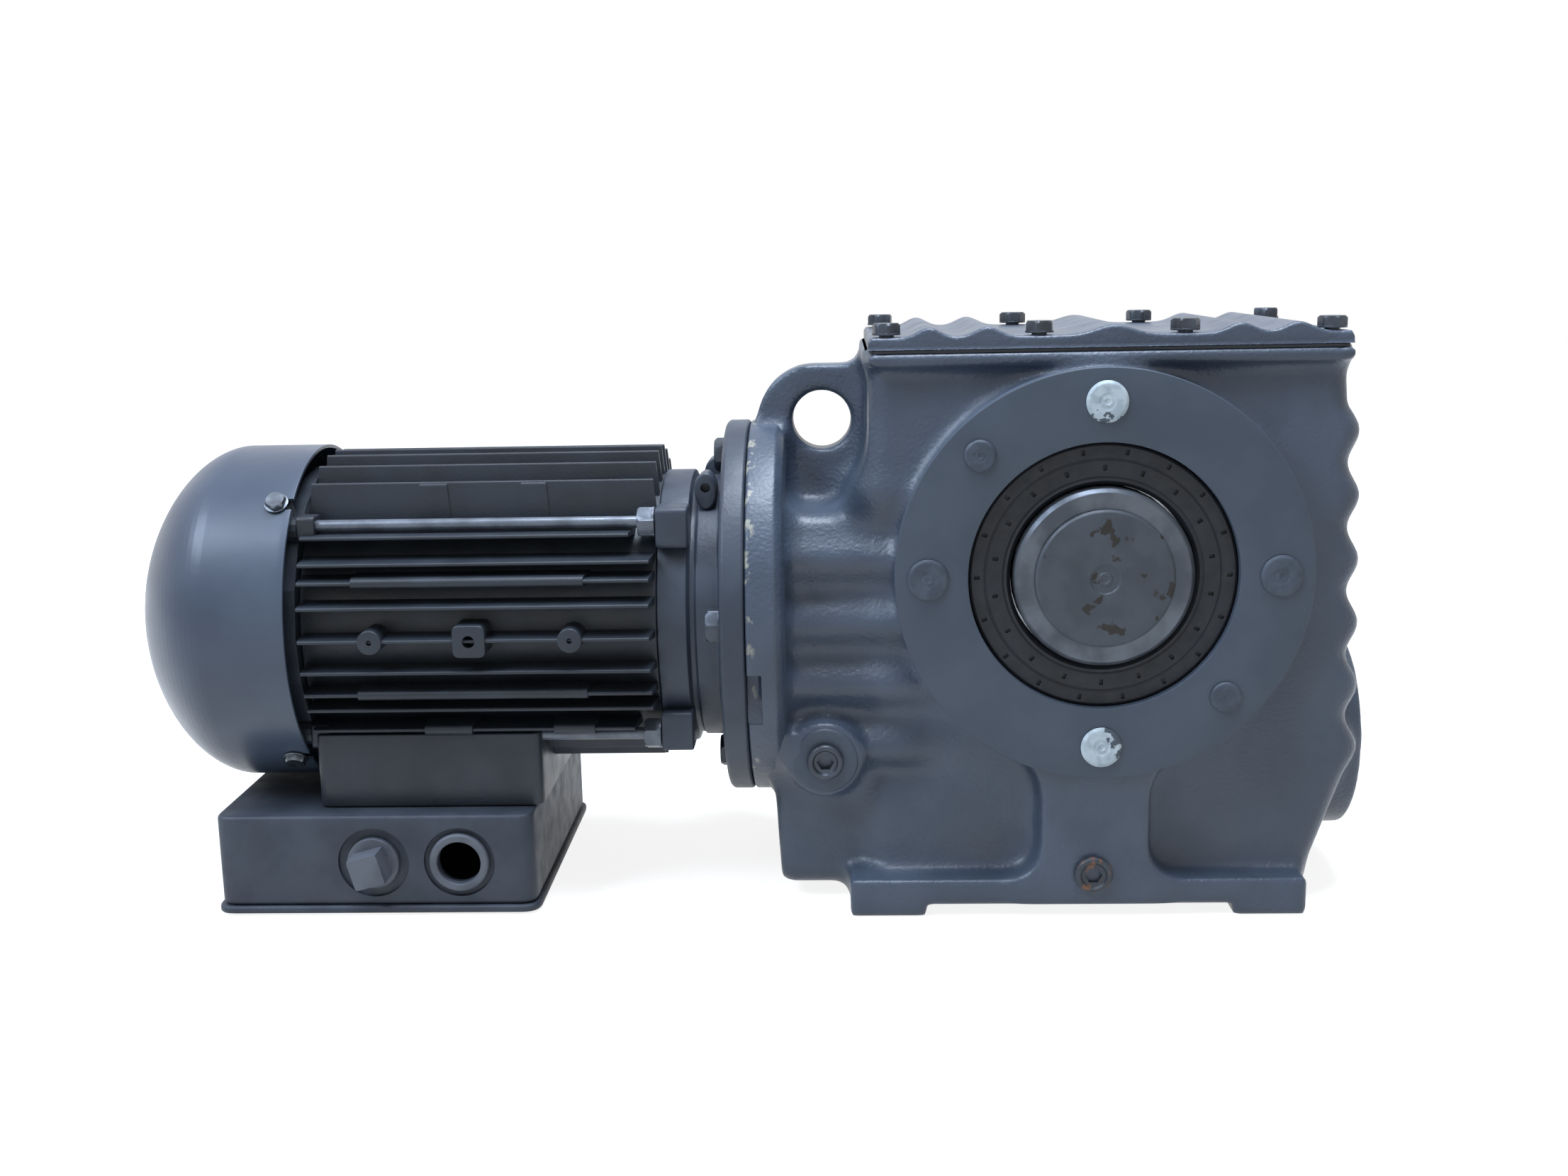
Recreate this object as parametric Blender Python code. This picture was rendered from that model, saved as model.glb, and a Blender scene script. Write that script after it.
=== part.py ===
# Helical-worm gearmotor: a foot-mounted gearbox with a hollow output shaft, driven by a
# fan-cooled flange motor through a helical stage and a worm stage.
# Sizes are millimetres, turned into metres where a mesh is made. X runs along the motor,
# with the motor at -X, Y is the output axis and Z is up from the feet. Every X is measured
# from the output axis. The frame empty then puts the world origin under the box's middle.

import math

import bmesh
import bpy
from mathutils import Matrix, Vector

MM = 0.001
FINE = 32            # sides of a large round shape, a middling one and a small one
ROUND = 20
SMALL = 12
GAP = 0.3            # between pieces that rest on each other
RUN = 0.8            # between a turning piece and a fixed one
OVERLAP = 2.0        # how far a joined shape or a cutter reaches into its neighbour

# Gears
WORM_MODULE = 4.0
WORM_STARTS = 2
WORM_PITCH_R = 20.0
WHEEL_TEETH = 30
WHEEL_WIDTH = 30.0
WORM_LENGTH = 60.0
HELICAL_MODULE = 2.0
HELIX = math.radians(21.8)
PINION_TEETH = 13
GEAR_TEETH = 39
HELICAL_WIDTH = 18.0
PRESSURE = math.radians(20)
PLAY = 0.5           # taken off each tooth's thickness
NECK_IN = 0.6        # a shaft's neck, in from the teeth's roots

# Heights of the three axes above the feet
SHAFT_HEIGHT = 140.0
WHEEL_PITCH_R = WORM_MODULE * WHEEL_TEETH / 2
WORM_HEIGHT = SHAFT_HEIGHT - WHEEL_PITCH_R - WORM_PITCH_R
HELICAL_TRANSVERSE = HELICAL_MODULE / math.cos(HELIX)
PINION_PITCH_R = HELICAL_TRANSVERSE * PINION_TEETH / 2
GEAR_PITCH_R = HELICAL_TRANSVERSE * GEAR_TEETH / 2
MOTOR_HEIGHT = WORM_HEIGHT + PINION_PITCH_R + GEAR_PITCH_R

# Output side
HUB_R = 35.0
SHAFT_BORE_R = 22.5
HUB_END_Y = 77.5
BORE_CAP_R = 27.0
BORE_CAP_THICK = 2.0
HUB_BEVEL = 1.5
KEYWAY_WIDE = 14.0
KEYWAY_DEEP = 3.8
OUTPUT_BEARING_R = 50.0
OUTPUT_BEARING_WIDE = 16.0
SEAL_R = 52.0
SEAL_WIDE = 8.0
SEAL_RECESS = 3.0
PAD_R = 81.0
PAD_FACE_Y = 76.0
CAP_CIRCLE_R = 68.0
LARGE_CAP_R = 8.1
SMALL_CAP_R = 6.2
CAP_THICK = 1.2
CAP_BEVEL = 0.6
PAD_HOLE_R = 5.1
PAD_HOLE_DEEP = 13.0
LARGE_CAP_ANGLES = (0, 90, 180, 270)
SMALL_CAP_ANGLES = (135, 315)

# Housing
BODY_LEFT = -90.0
BODY_TOP_RIGHT = 97.0
BODY_HALF_Y = 61.0
BODY_TOP = SHAFT_HEIGHT + 86.0
WALL_DRAFT = 0.033   # the end wall leans out by this much for each millimetre down
SLANT_TOP = 61.0
SLANT_BOTTOM = 17.0
SLANT_IN = 17.0
SLANT_DROP = 8.0     # the slanted lower wall starts this far below its height
RIDGE_TOP_Z = SHAFT_HEIGHT + 53.4
RIDGE_PITCH = 25.7
RIDGES = 6
RIDGE_RISE = 5.0
RIDGE_STEPS = 4
NECK_HALF_Y = 56.0
NECK_TOP = MOTOR_HEIGHT + 46.0
NECK_LEFT = -131.0
NECK_SHOULDER = 12.0
NECK_FLARE = 4.0      # the cone behind the flange, out from the neck and along it
NECK_FLARE_LONG = 12.0
SUMP_BOTTOM = 6.0
SUMP_CORNER = 18.0
CAVITY_HALF_Y = 45.0
CAVITY_LEFT = -75.0
CAVITY_RIGHT = 84.0
CAVITY_BOTTOM = 14.0
CAVITY_SLANT_X = 10.0   # the cavity's lower end, in from the slanted wall
CAVITY_SLANT_IN = 12.0
WORM_BEARING_R = 31.0
WORM_BEARING_WIDE = 17.0
WORM_SHAFT_R = 12.5
SEAT_IN = 4.0         # the input bearing and the gear, in from their shoulders
END_CAP_IN = 3.0      # the end cap's face, in from the end boss
BEARING_BOSS_WALL = 8.0
END_BOSS_R = 43.0
END_BOSS_X = 113.0
END_CAP_WIDE = 8.0
GEAR_ROOM = 1.5      # around the helical gear
CHAMBER_LEFT = -126.0
LEVEL_X = -109.0
LEVEL_HEIGHT = 63.5
LEVEL_BOSS_R = 13.3
LEVEL_BOSS_Y = 64.0
LEVEL_PLUG_R = 7.3
DRAIN_X = -2.0
DRAIN_HEIGHT = 18.5
DRAIN_PLUG_R = 7.6
PLUG_DEEP = 9.0
PLUG_SEAT = 1.0       # how far a plug's head reaches past its hole
PLUG_HEAD = 3.0
SOCKET_HALF = 3.0     # half a socket's width across flats

# Feet
FOOT_LEFT = -99.5
FOOT_RIGHT = 84.0
FOOT_HALF_Y = 74.0
FOOT_THICK = 15.5
FOOT_RECESS = 5.0
FOOT_PAD_LEFT = 31.0
FOOT_PAD_RIGHT = 29.5
FOOT_HOLE_R = 5.1
FOOT_HOLE_DEEP = 12.0
FOOT_HOLE_IN_Y = 11.0
WEB_LEFT = -23.0
WEB_RIGHT = 20.5
WEB_RISE = 7.0          # how far the web runs up behind the pad
PANEL_DEEP = 6.0
PANEL_CORNER = 8.0
PANEL_TOP = 60.0

# Lifting lug
LUG_X = -109.2
LUG_HEIGHT = SHAFT_HEIGHT + 56.4
LUG_HOLE_R = 12.3
LUG_LEFT = -134.2
LUG_TOP = SHAFT_HEIGHT + 77.3
LUG_THICK = 17.0
LUG_CORNER = 22.0
LUG_HOLE_STEPS = 24

# Cover
GASKET_THICK = 1.0
GASKET_CORNER = 4.0
COVER_THICK = 5.4
COVER_HUMP = 3.8
COVER_IN = 3.0        # the cover and its gasket, in from the housing's edge
GASKET_IN = 1.0
COVER_HUMPS = ((-77, -33), (-10, 21), (45, 84))
BOLT_XS = (-82.9, -23.2, 33.4, 90.0)
BOLT_Y = 52.0
BOLT_R = 3.0
BOLT_FLATS = 10.0
BOLT_HEAD = 4.6
BOLT_LENGTH = 20.0

# Motor flange
FLANGE_R = 80.0
FLANGE_JOINT = -139.5
HOUSING_FLANGE = 14.5
MOTOR_FLANGE = 10.0
SPIGOT_R = 48.0
SPIGOT_LONG = 5.0
FLANGE_BOLT_CIRCLE_R = 65.0
FLANGE_BOLT_TURN = 4.0
FLANGE_BOLT_R = 4.0
FLANGE_BOLT_FLATS = 13.0
FLANGE_BOLT_HEAD = 5.3
FLANGE_BOLT_LENGTH = 20.0
SLOT_WIDE = 6.0
SLOT_LOW = MOTOR_HEIGHT - 35.0
SLOT_HIGH = MOTOR_HEIGHT - 13.0
SLOT_DEEP = 6.0

# Motor frame
FRAME_FRONT = -176.4
FRAME_LENGTH = 145.6
FRAME_BACK = FRAME_FRONT - FRAME_LENGTH
FRAME_BORE_R = 53.5
FRAME_ROOT_R = 57.5
FIN_TIP_R = 70.0
FIN_HALF = 1.1
SIDE_FINS = (-40.0, -30.0, -23.0, -13.2, 0.0, 13.2, 23.0, 30.0, 40.0)
END_FINS = (-36.0, -24.0, -12.0, 0.0, 12.0, 24.0, 36.0)
BOTTOM_FIN_DROP = 5.0
PEDESTAL_LEFT = -320.0
PEDESTAL_RIGHT = -226.0
PEDESTAL_HALF_Y = 56.0
PEDESTAL_TOP = MOTOR_HEIGHT - 42.0
BOSS_OUT = 1.0
FIN_BOSSES = ((-290.4, 5.0, 12), (-250.4, 6.5, 4), (-210.0, 5.0, 12))
ENDSHIELD_R = 59.0
INNER_RING_R = 56.5   # clear of the flange bolts' heads
SPIGOT_WALL = 5.0
SPIGOT_IN = 2.0       # an endshield's spigot, into the motor frame
REAR_SPIGOT_IN = 3.0
DISH = 6.0            # how far the front endshield's inside is dished
GROOVE_DEEP = 3.5
RING_ONE_X = -164.0
RING_TWO_X = -160.5
MOTOR_SHAFT_R = 12.5
FRONT_BEARING_R = 26.0
FRONT_BEARING_WIDE = 15.0
FRONT_BEARING_X = -165.0
OIL_SEAL_R = 22.0
OIL_SEAL_WIDE = 7.0
REAR_SHAFT_R = 10.0
REAR_BEARING_R = 23.5
REAR_BEARING_WIDE = 14.0
REAR_SHIELD_R = 63.0
REAR_SHIELD_THICK = 6.0
REAR_POCKET_OUT = 6.0
CORE_LEFT = FRAME_BACK + 22.0
CORE_RIGHT = -205.0
CORE_BORE_R = 34.0
WINDING_LONG = 12.0
AIR_GAP = 0.8
TIE_ROD_Y = 49.3
TIE_ROD_Z = 44.2
TIE_ROD_SEAT = 1.3    # how far the rear seats sit inside the rods
TIE_ROD_SEAT_R = 5.0
TIE_ROD_R = 2.5
TIE_ROD_NUT = 12.0
TIE_ROD_NUT_LONG = 6.7
LUG_BLOCK = 12.5
LUG_BLOCK_IN = 4.0
TIE_ROD_POCKET = 7.6
TIE_ROD_POCKET_Y = 15.0
TIE_ROD_POCKET_Z = 7.0
LEAD_HOLE_R = 9.0
WINDING_WALL = 4.0

# Fan and cowl
COWL_R = 72.0
COWL_WALL = 1.5
COWL_ROOM = 1.2      # between the cowl and the endshield's screw seats
COWL_RIM = FRAME_BACK - 2.3
COWL_DOME = FRAME_BACK - 36.0
COWL_BACK = FRAME_BACK - 80.5
DOME_POWER = 1.8
COWL_SCREW_X = FRAME_BACK - 8.7
COWL_SCREW_ANGLE = 47.8
COWL_SCREW_R = 2.3
COWL_SCREW_HEAD_R = 4.4
COWL_SCREW_HEAD = 3.0
SCREW_SEAT_LEFT = 5.0
SCREW_SEAT_RIGHT = 4.4
SCREW_SEAT_WIDE = 9.0
SCREW_DEEP = 8.0
COWL_SLOT_DEEP = 4.0
GRILLE_SLOTS = 10
GRILLE_INNER = 12.0
GRILLE_OUTER = 36.0
GRILLE_WIDE = 4.5
GRILLE_DEEP = 12.0
FAN_BLADES = 8
FAN_R = 56.0
FAN_HUB_R = 15.0
FAN_FRONT = FRAME_BACK - 25.0
FAN_PLATE = 2.5
FAN_DEEP = 22.0
FAN_BLADE = 2.5
BLADE_IN = 3.0        # a blade's back edge, in from the hub's
BLADE_SINK = 0.8      # how far short of the plate's face a blade stops

# Terminal box, hung below the motor
BOX_LEFT = -361.0
BOX_RIGHT = -229.0
BOX_HALF_Y = 67.0
BOX_TOP = 42.5
BOX_WALL = 4.0
BOX_CORNER = 6.0
BOX_INNER_CORNER = 2.5
LID_BOTTOM = 1.0
LID_THICK = 3.0
LID_LIP = 1.5
ENTRY_HEIGHT = 22.5
PLUG_ENTRY_X = -295.6
OPEN_ENTRY_X = -260.0
ENTRY_RECESS_R = 14.7
ENTRY_RECESS = 2.0
ENTRY_RING_R = 12.3
ENTRY_HOLE_R = 9.0
ENTRY_RING_OUT = 1.5
BLANK_FLATS = 12.6
BLANK_COLLAR_R = 10.7
BLANK_HEAD = 11.0
BLANK_COLLAR = 3.0
TERMINAL_LONG = 50.0
TERMINAL_WIDE = 34.0
TERMINAL_TALL = 14.0
TERMINAL_FRONT = 14.0   # clear of the hole for the leads

# Breather in the worm's end cap
BREATHER_R = 6.0
BREATHER_FLATS = 11.0
BREATHER_HEAD = 5.0
BREATHER_TIP_R = 4.5
BREATHER_OUT = 9.0

PAINT = (0.050, 0.062, 0.080)
DARK_PAINT = (0.035, 0.042, 0.052)
STEEL = (0.45, 0.46, 0.48)
DARK_STEEL = (0.10, 0.11, 0.12)
RUBBER = (0.020, 0.021, 0.023)
BRONZE = (0.55, 0.33, 0.12)
BRASS = (0.70, 0.52, 0.14)
WHITE_PLASTIC = (0.62, 0.68, 0.70)
GREY_PLASTIC = (0.10, 0.12, 0.14)
COPPER = (0.60, 0.25, 0.12)


def clear_scene():
    for old in list(bpy.data.objects):
        bpy.data.objects.remove(old)


def empty(name, at, parent=None):
    marker = bpy.data.objects.new(name, None)
    marker.empty_display_size = 0.02
    marker.location = Vector(at) * MM
    marker.parent = parent
    bpy.context.scene.collection.objects.link(marker)
    return marker


def paint(obj, colour, roughness, metallic):
    finish = bpy.data.materials.new(obj.name)
    finish.use_nodes = True
    shader = finish.node_tree.nodes["Principled BSDF"]
    shader.inputs["Base Color"].default_value = (*colour, 1)
    shader.inputs["Roughness"].default_value = roughness
    shader.inputs["Metallic"].default_value = metallic
    obj.data.materials.append(finish)


# One new object from points in millimetres, lists of point numbers for its faces, and the
# empty that it hangs from.
def solid(name, shape, parent, colour=PAINT, roughness=0.5, metallic=0.0):
    points, faces = shape
    mesh = bpy.data.meshes.new(name)
    work = bmesh.new()
    corners = [work.verts.new(Vector(point) * MM) for point in points]
    for face in faces:
        work.faces.new([corners[number] for number in face])
    loose = [corner for corner in corners if not corner.link_faces]
    bmesh.ops.delete(work, geom=loose, context="VERTS")
    bmesh.ops.recalc_face_normals(work, faces=work.faces)
    work.to_mesh(mesh)
    work.free()
    mesh.shade_smooth()
    mesh.set_sharp_from_angle(angle=math.radians(30))
    obj = bpy.data.objects.new(name, mesh)
    obj.parent = parent
    bpy.context.scene.collection.objects.link(obj)
    paint(obj, colour, roughness, metallic)
    return obj


# A hidden shape that is joined to a piece or cut from it.
def shape_piece(target, shape, operation):
    count = len(target.modifiers)
    tool = solid(f"{target.name}_tool_{count}", shape, target.parent)
    tool.hide_render = True
    tool.display_type = "WIRE"
    change = target.modifiers.new(f"{operation.lower()}_{count}", "BOOLEAN")
    change.operation = operation
    change.solver = "EXACT"
    change.object = tool


def join(target, *shapes):
    for shape in shapes:
        shape_piece(target, shape, "UNION")


def cut(target, *shapes):
    for shape in shapes:
        shape_piece(target, shape, "DIFFERENCE")


# Several closed shapes that don't touch, as one shape.
def together(shapes):
    points = []
    faces = []
    for some_points, some_faces in shapes:
        first = len(points)
        points.extend(some_points)
        faces.extend([[number + first for number in face] for face in some_faces])
    return points, faces


def on_axis(axis, along, across, up):
    if axis == "X":
        return (along, across, up)
    if axis == "Y":
        return (across, along, up)
    return (across, up, along)


def moved(shape, offset):
    points, faces = shape
    return [tuple(a + b for a, b in zip(point, offset)) for point in points], faces


def turned_about_x(shape, degrees, centre=(0, 0, 0)):
    points, faces = shape
    spin = Matrix.Rotation(math.radians(degrees), 3, "X")
    middle = Vector(centre)
    return [tuple(spin @ (Vector(point) - middle) + middle) for point in points], faces


# The shape turned from a profile of (radius, along) points. A third value of 6 makes that
# ring a hexagon whose radius is half its width across flats. A profile that starts and ends
# on the axis is solid; any other is a ring, closed from its last point to its first. An end
# that is square to the axis is one flat face.
def turned(profile, axis="X", steps=ROUND, centre=(0, 0)):
    points = []
    rings = []
    for spot in profile:
        radius, along = spot[:2]
        sides = spot[2] if len(spot) > 2 else 0
        ring = []
        for step in range(1 if radius == 0 else steps):
            angle = 2 * math.pi * step / steps
            reach = radius
            if sides:
                wedge = 2 * math.pi / sides
                reach = radius / math.cos((angle % wedge) - wedge / 2)
            ring.append(len(points))
            across = centre[0] + reach * math.cos(angle)
            up = centre[1] + reach * math.sin(angle)
            points.append(on_axis(axis, along, across, up))
        rings.append((ring, along))
    if len(rings[0][0]) > 1:
        rings.append(rings[0])
    faces = []
    for (low, low_at), (high, high_at) in zip(rings, rings[1:]):
        if low_at == high_at and 1 in (len(low), len(high)):
            faces.append(low if len(high) == 1 else high)
            continue
        for step in range(steps):
            after = (step + 1) % steps
            if len(low) == 1:
                faces.append([low[0], high[step], high[after]])
            elif len(high) == 1:
                faces.append([low[after], low[step], high[0]])
            else:
                faces.append([low[step], low[after], high[after], high[step]])
    return points, faces


def rod(radius, low, high, axis="X", centre=(0, 0), steps=ROUND):
    return turned([(0, low), (radius, low), (radius, high), (0, high)], axis, steps, centre)


def ring(inner, outer, low, high, axis="X", centre=(0, 0), steps=ROUND):
    profile = [(inner, low), (outer, low), (outer, high), (inner, high)]
    return turned(profile, axis, steps, centre)


# A flat outline of (across, up) points, drawn out along an axis.
def prism(outline, low, high, axis="Y"):
    count = len(outline)
    points = [on_axis(axis, low, *spot) for spot in outline]
    points += [on_axis(axis, high, *spot) for spot in outline]
    faces = [list(range(count)), list(range(2 * count - 1, count - 1, -1))]
    for one in range(count):
        two = (one + 1) % count
        faces.append([one, two, two + count, one + count])
    return points, faces


def block(x_range, y_range, z_range):
    outline = [(x_range[0], y_range[0]), (x_range[1], y_range[0]),
               (x_range[1], y_range[1]), (x_range[0], y_range[1])]
    return prism(outline, *z_range, axis="Z")


def rounded(across, up, radius, steps=4):
    (left, right), (low, high) = across, up
    centres = ((right - radius, high - radius, 0), (left + radius, high - radius, 90),
               (left + radius, low + radius, 180), (right - radius, low + radius, 270))
    outline = []
    for x, z, start in centres:
        for step in range(steps + 1):
            angle = math.radians(start + 90 * step / steps)
            outline.append((x + radius * math.cos(angle), z + radius * math.sin(angle)))
    return outline


# Involute gear outline as (angle, radius) points, with a tooth centred on angle zero.
def gear_outline(teeth, pitch_r, pressure, tip_r, root_r, flank_steps):
    base_r = pitch_r * math.cos(pressure)

    def involute(radius):
        lean = math.acos(min(1.0, base_r / radius))
        return math.tan(lean) - lean

    half_at_pitch = math.pi / (2 * teeth) - PLAY / (2 * pitch_r)
    flank = []
    for step in range(flank_steps):
        radius = root_r + (tip_r - root_r) * step / (flank_steps - 1)
        half = half_at_pitch + involute(pitch_r) - involute(max(radius, base_r))
        flank.append((half, radius))
    outline = []
    for tooth in range(teeth):
        middle = 2 * math.pi * tooth / teeth
        outline += [(middle - half, radius) for half, radius in flank]
        outline += [(middle + half, radius) for half, radius in reversed(flank)]
    return outline


# A gear outline drawn along an axis while it turns by twist radians from its middle.
def twisted(outline, low, high, twist, slices, start_angle, axis="X"):
    points = []
    count = len(outline)
    for cross in range(slices + 1):
        share = cross / slices
        along = low + (high - low) * share
        turn = start_angle + twist * (share - 0.5)
        for angle, radius in outline:
            across = radius * math.cos(angle + turn)
            up = radius * math.sin(angle + turn)
            points.append(on_axis(axis, along, across, up))
    faces = [list(range(count)), list(range(len(points) - count, len(points)))]
    for cross in range(slices):
        first = cross * count
        for one in range(count):
            two = (one + 1) % count
            faces.append([first + one, first + two, first + two + count, first + one + count])
    return points, faces


# Frame and axes

RIGHT_END = END_BOSS_X + BREATHER_OUT
FRAME_X = -(COWL_BACK + RIGHT_END) / 2
OUTER_FACE = FLANGE_JOINT - GAP - MOTOR_FLANGE

clear_scene()
frame = empty("gearmotor_frame", (FRAME_X, 0, 0))
output_axis = empty("output_axis", (0, 0, SHAFT_HEIGHT), frame)
worm_axis = empty("worm_axis", (0, 0, WORM_HEIGHT), frame)
motor_axis = empty("motor_axis", (0, 0, MOTOR_HEIGHT), frame)


# Gearbox housing

def end_wall_x(height):
    return BODY_TOP_RIGHT + WALL_DRAFT * (BODY_TOP - height)


# The end wall's outline, from the slanted lower wall up through its rounded ridges.
def ridged_wall():
    outline = [(end_wall_x(SLANT_TOP) - SLANT_IN, SLANT_BOTTOM),
               (end_wall_x(SLANT_TOP), SLANT_TOP - SLANT_DROP)]
    low = RIDGE_TOP_Z - RIDGE_PITCH * (RIDGES - 0.5)
    for step in range(RIDGES * RIDGE_STEPS + 1):
        height = low + RIDGE_PITCH * step / RIDGE_STEPS
        rise = RIDGE_RISE * (0.5 - 0.5 * math.cos(2 * math.pi * step / RIDGE_STEPS))
        outline.append((end_wall_x(height) + rise, height))
    outline.append((end_wall_x(BODY_TOP), BODY_TOP))
    return outline


def body_shape():
    bottom = FOOT_THICK - OVERLAP
    outline = [(BODY_LEFT, bottom), (end_wall_x(SLANT_TOP) - SLANT_IN, bottom)]
    outline += ridged_wall() + [(BODY_LEFT, BODY_TOP)]
    return prism(outline, -BODY_HALF_Y, BODY_HALF_Y)


def foot_shape():
    left_pad = FOOT_LEFT + FOOT_PAD_LEFT
    right_pad = FOOT_RIGHT - FOOT_PAD_RIGHT
    outline = [(FOOT_LEFT, 0), (left_pad, 0), (left_pad, FOOT_RECESS), (right_pad, FOOT_RECESS),
               (right_pad, 0), (FOOT_RIGHT, 0), (FOOT_RIGHT, FOOT_THICK), (FOOT_LEFT, FOOT_THICK)]
    return prism(outline, -FOOT_HALF_Y, FOOT_HALF_Y)


# The neck's cross-section has the same ridges down both its sides.
def neck_shape():
    side = []
    low = RIDGE_TOP_Z - RIDGE_PITCH * (RIDGES - 0.5)
    for step in range((RIDGES - 2) * RIDGE_STEPS + 1):
        height = low + RIDGE_PITCH * step / RIDGE_STEPS
        rise = RIDGE_RISE * (0.5 - 0.5 * math.cos(2 * math.pi * step / RIDGE_STEPS))
        side.append((NECK_HALF_Y - RIDGE_RISE / 2 + rise, height))
    bottom = []
    for step in range(5):
        angle = math.radians(-90 + 90 * step / 4)
        bottom.append((NECK_HALF_Y - SUMP_CORNER + SUMP_CORNER * math.cos(angle),
                       SUMP_BOTTOM + SUMP_CORNER + SUMP_CORNER * math.sin(angle)))
    right = bottom + side + [(NECK_HALF_Y - NECK_SHOULDER, NECK_TOP)]
    left = [(-across, up) for across, up in reversed(right)]
    return prism(right + left, NECK_LEFT, BODY_LEFT + OVERLAP, axis="X")


def lug_shape():
    outline = [(BODY_LEFT + OVERLAP, NECK_TOP - 3 * OVERLAP), (BODY_LEFT + OVERLAP, LUG_TOP)]
    for step in range(7):
        angle = math.radians(90 + 90 * step / 6)
        outline.append((LUG_LEFT + LUG_CORNER + LUG_CORNER * math.cos(angle),
                        LUG_TOP - LUG_CORNER + LUG_CORNER * math.sin(angle)))
    outline.append((LUG_LEFT, NECK_TOP - 3 * OVERLAP))
    return prism(outline, -LUG_THICK / 2, LUG_THICK / 2)


def panel_shapes(side):
    outer = side * (BODY_HALF_Y + OVERLAP)
    inner = side * (BODY_HALF_Y - PANEL_DEEP)
    low = FOOT_THICK + GAP
    left = rounded((BODY_LEFT - OVERLAP, WEB_LEFT), (low, PANEL_TOP), PANEL_CORNER)
    right = rounded((WEB_RIGHT, RIGHT_END), (low, PANEL_TOP), PANEL_CORNER)
    return [prism(left, min(inner, outer), max(inner, outer)),
            prism(right, min(inner, outer), max(inner, outer))]


def cavity_shape():
    slant_x = end_wall_x(SLANT_TOP) - SLANT_IN - CAVITY_SLANT_X
    outline = [(CAVITY_LEFT, CAVITY_BOTTOM), (slant_x - CAVITY_SLANT_IN, CAVITY_BOTTOM),
               (CAVITY_RIGHT, SLANT_TOP), (CAVITY_RIGHT, BODY_TOP + OVERLAP),
               (CAVITY_LEFT, BODY_TOP + OVERLAP)]
    return prism(outline, -CAVITY_HALF_Y, CAVITY_HALF_Y)


def on_circle(radius, degrees):
    return radius * math.cos(math.radians(degrees)), radius * math.sin(math.radians(degrees))


def pad_holes(side):
    holes = []
    for degrees in LARGE_CAP_ANGLES + SMALL_CAP_ANGLES:
        x, up = on_circle(CAP_CIRCLE_R, degrees)
        deep = sorted((side * (PAD_FACE_Y - PAD_HOLE_DEEP), side * (PAD_FACE_Y + OVERLAP)))
        holes.append(rod(PAD_HOLE_R, *deep, "Y", (x, SHAFT_HEIGHT + up), SMALL))
    return together(holes)


def foot_holes():
    holes = []
    for x in (FOOT_LEFT + FOOT_PAD_LEFT / 2, FOOT_RIGHT - FOOT_PAD_RIGHT / 2):
        for side in (-1, 1):
            y = side * (FOOT_HALF_Y - FOOT_HOLE_IN_Y)
            holes.append(rod(FOOT_HOLE_R, -OVERLAP, FOOT_HOLE_DEEP, "Z", (x, y), SMALL))
    return together(holes)


def cover_holes():
    low = BODY_TOP - BOLT_LENGTH
    holes = [rod(BOLT_R + GAP, low, BODY_TOP + OVERLAP, "Z", (x, side * BOLT_Y), SMALL)
             for x in BOLT_XS for side in (-1, 1)]
    return together(holes)


def flange_bolt_places():
    return [on_circle(FLANGE_BOLT_CIRCLE_R, 90 * turn - FLANGE_BOLT_TURN) for turn in range(4)]


def flange_holes(low, high, radius):
    holes = [rod(radius, low, high, "X", (y, MOTOR_HEIGHT + up), SMALL)
             for y, up in flange_bolt_places()]
    return together(holes)


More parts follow.
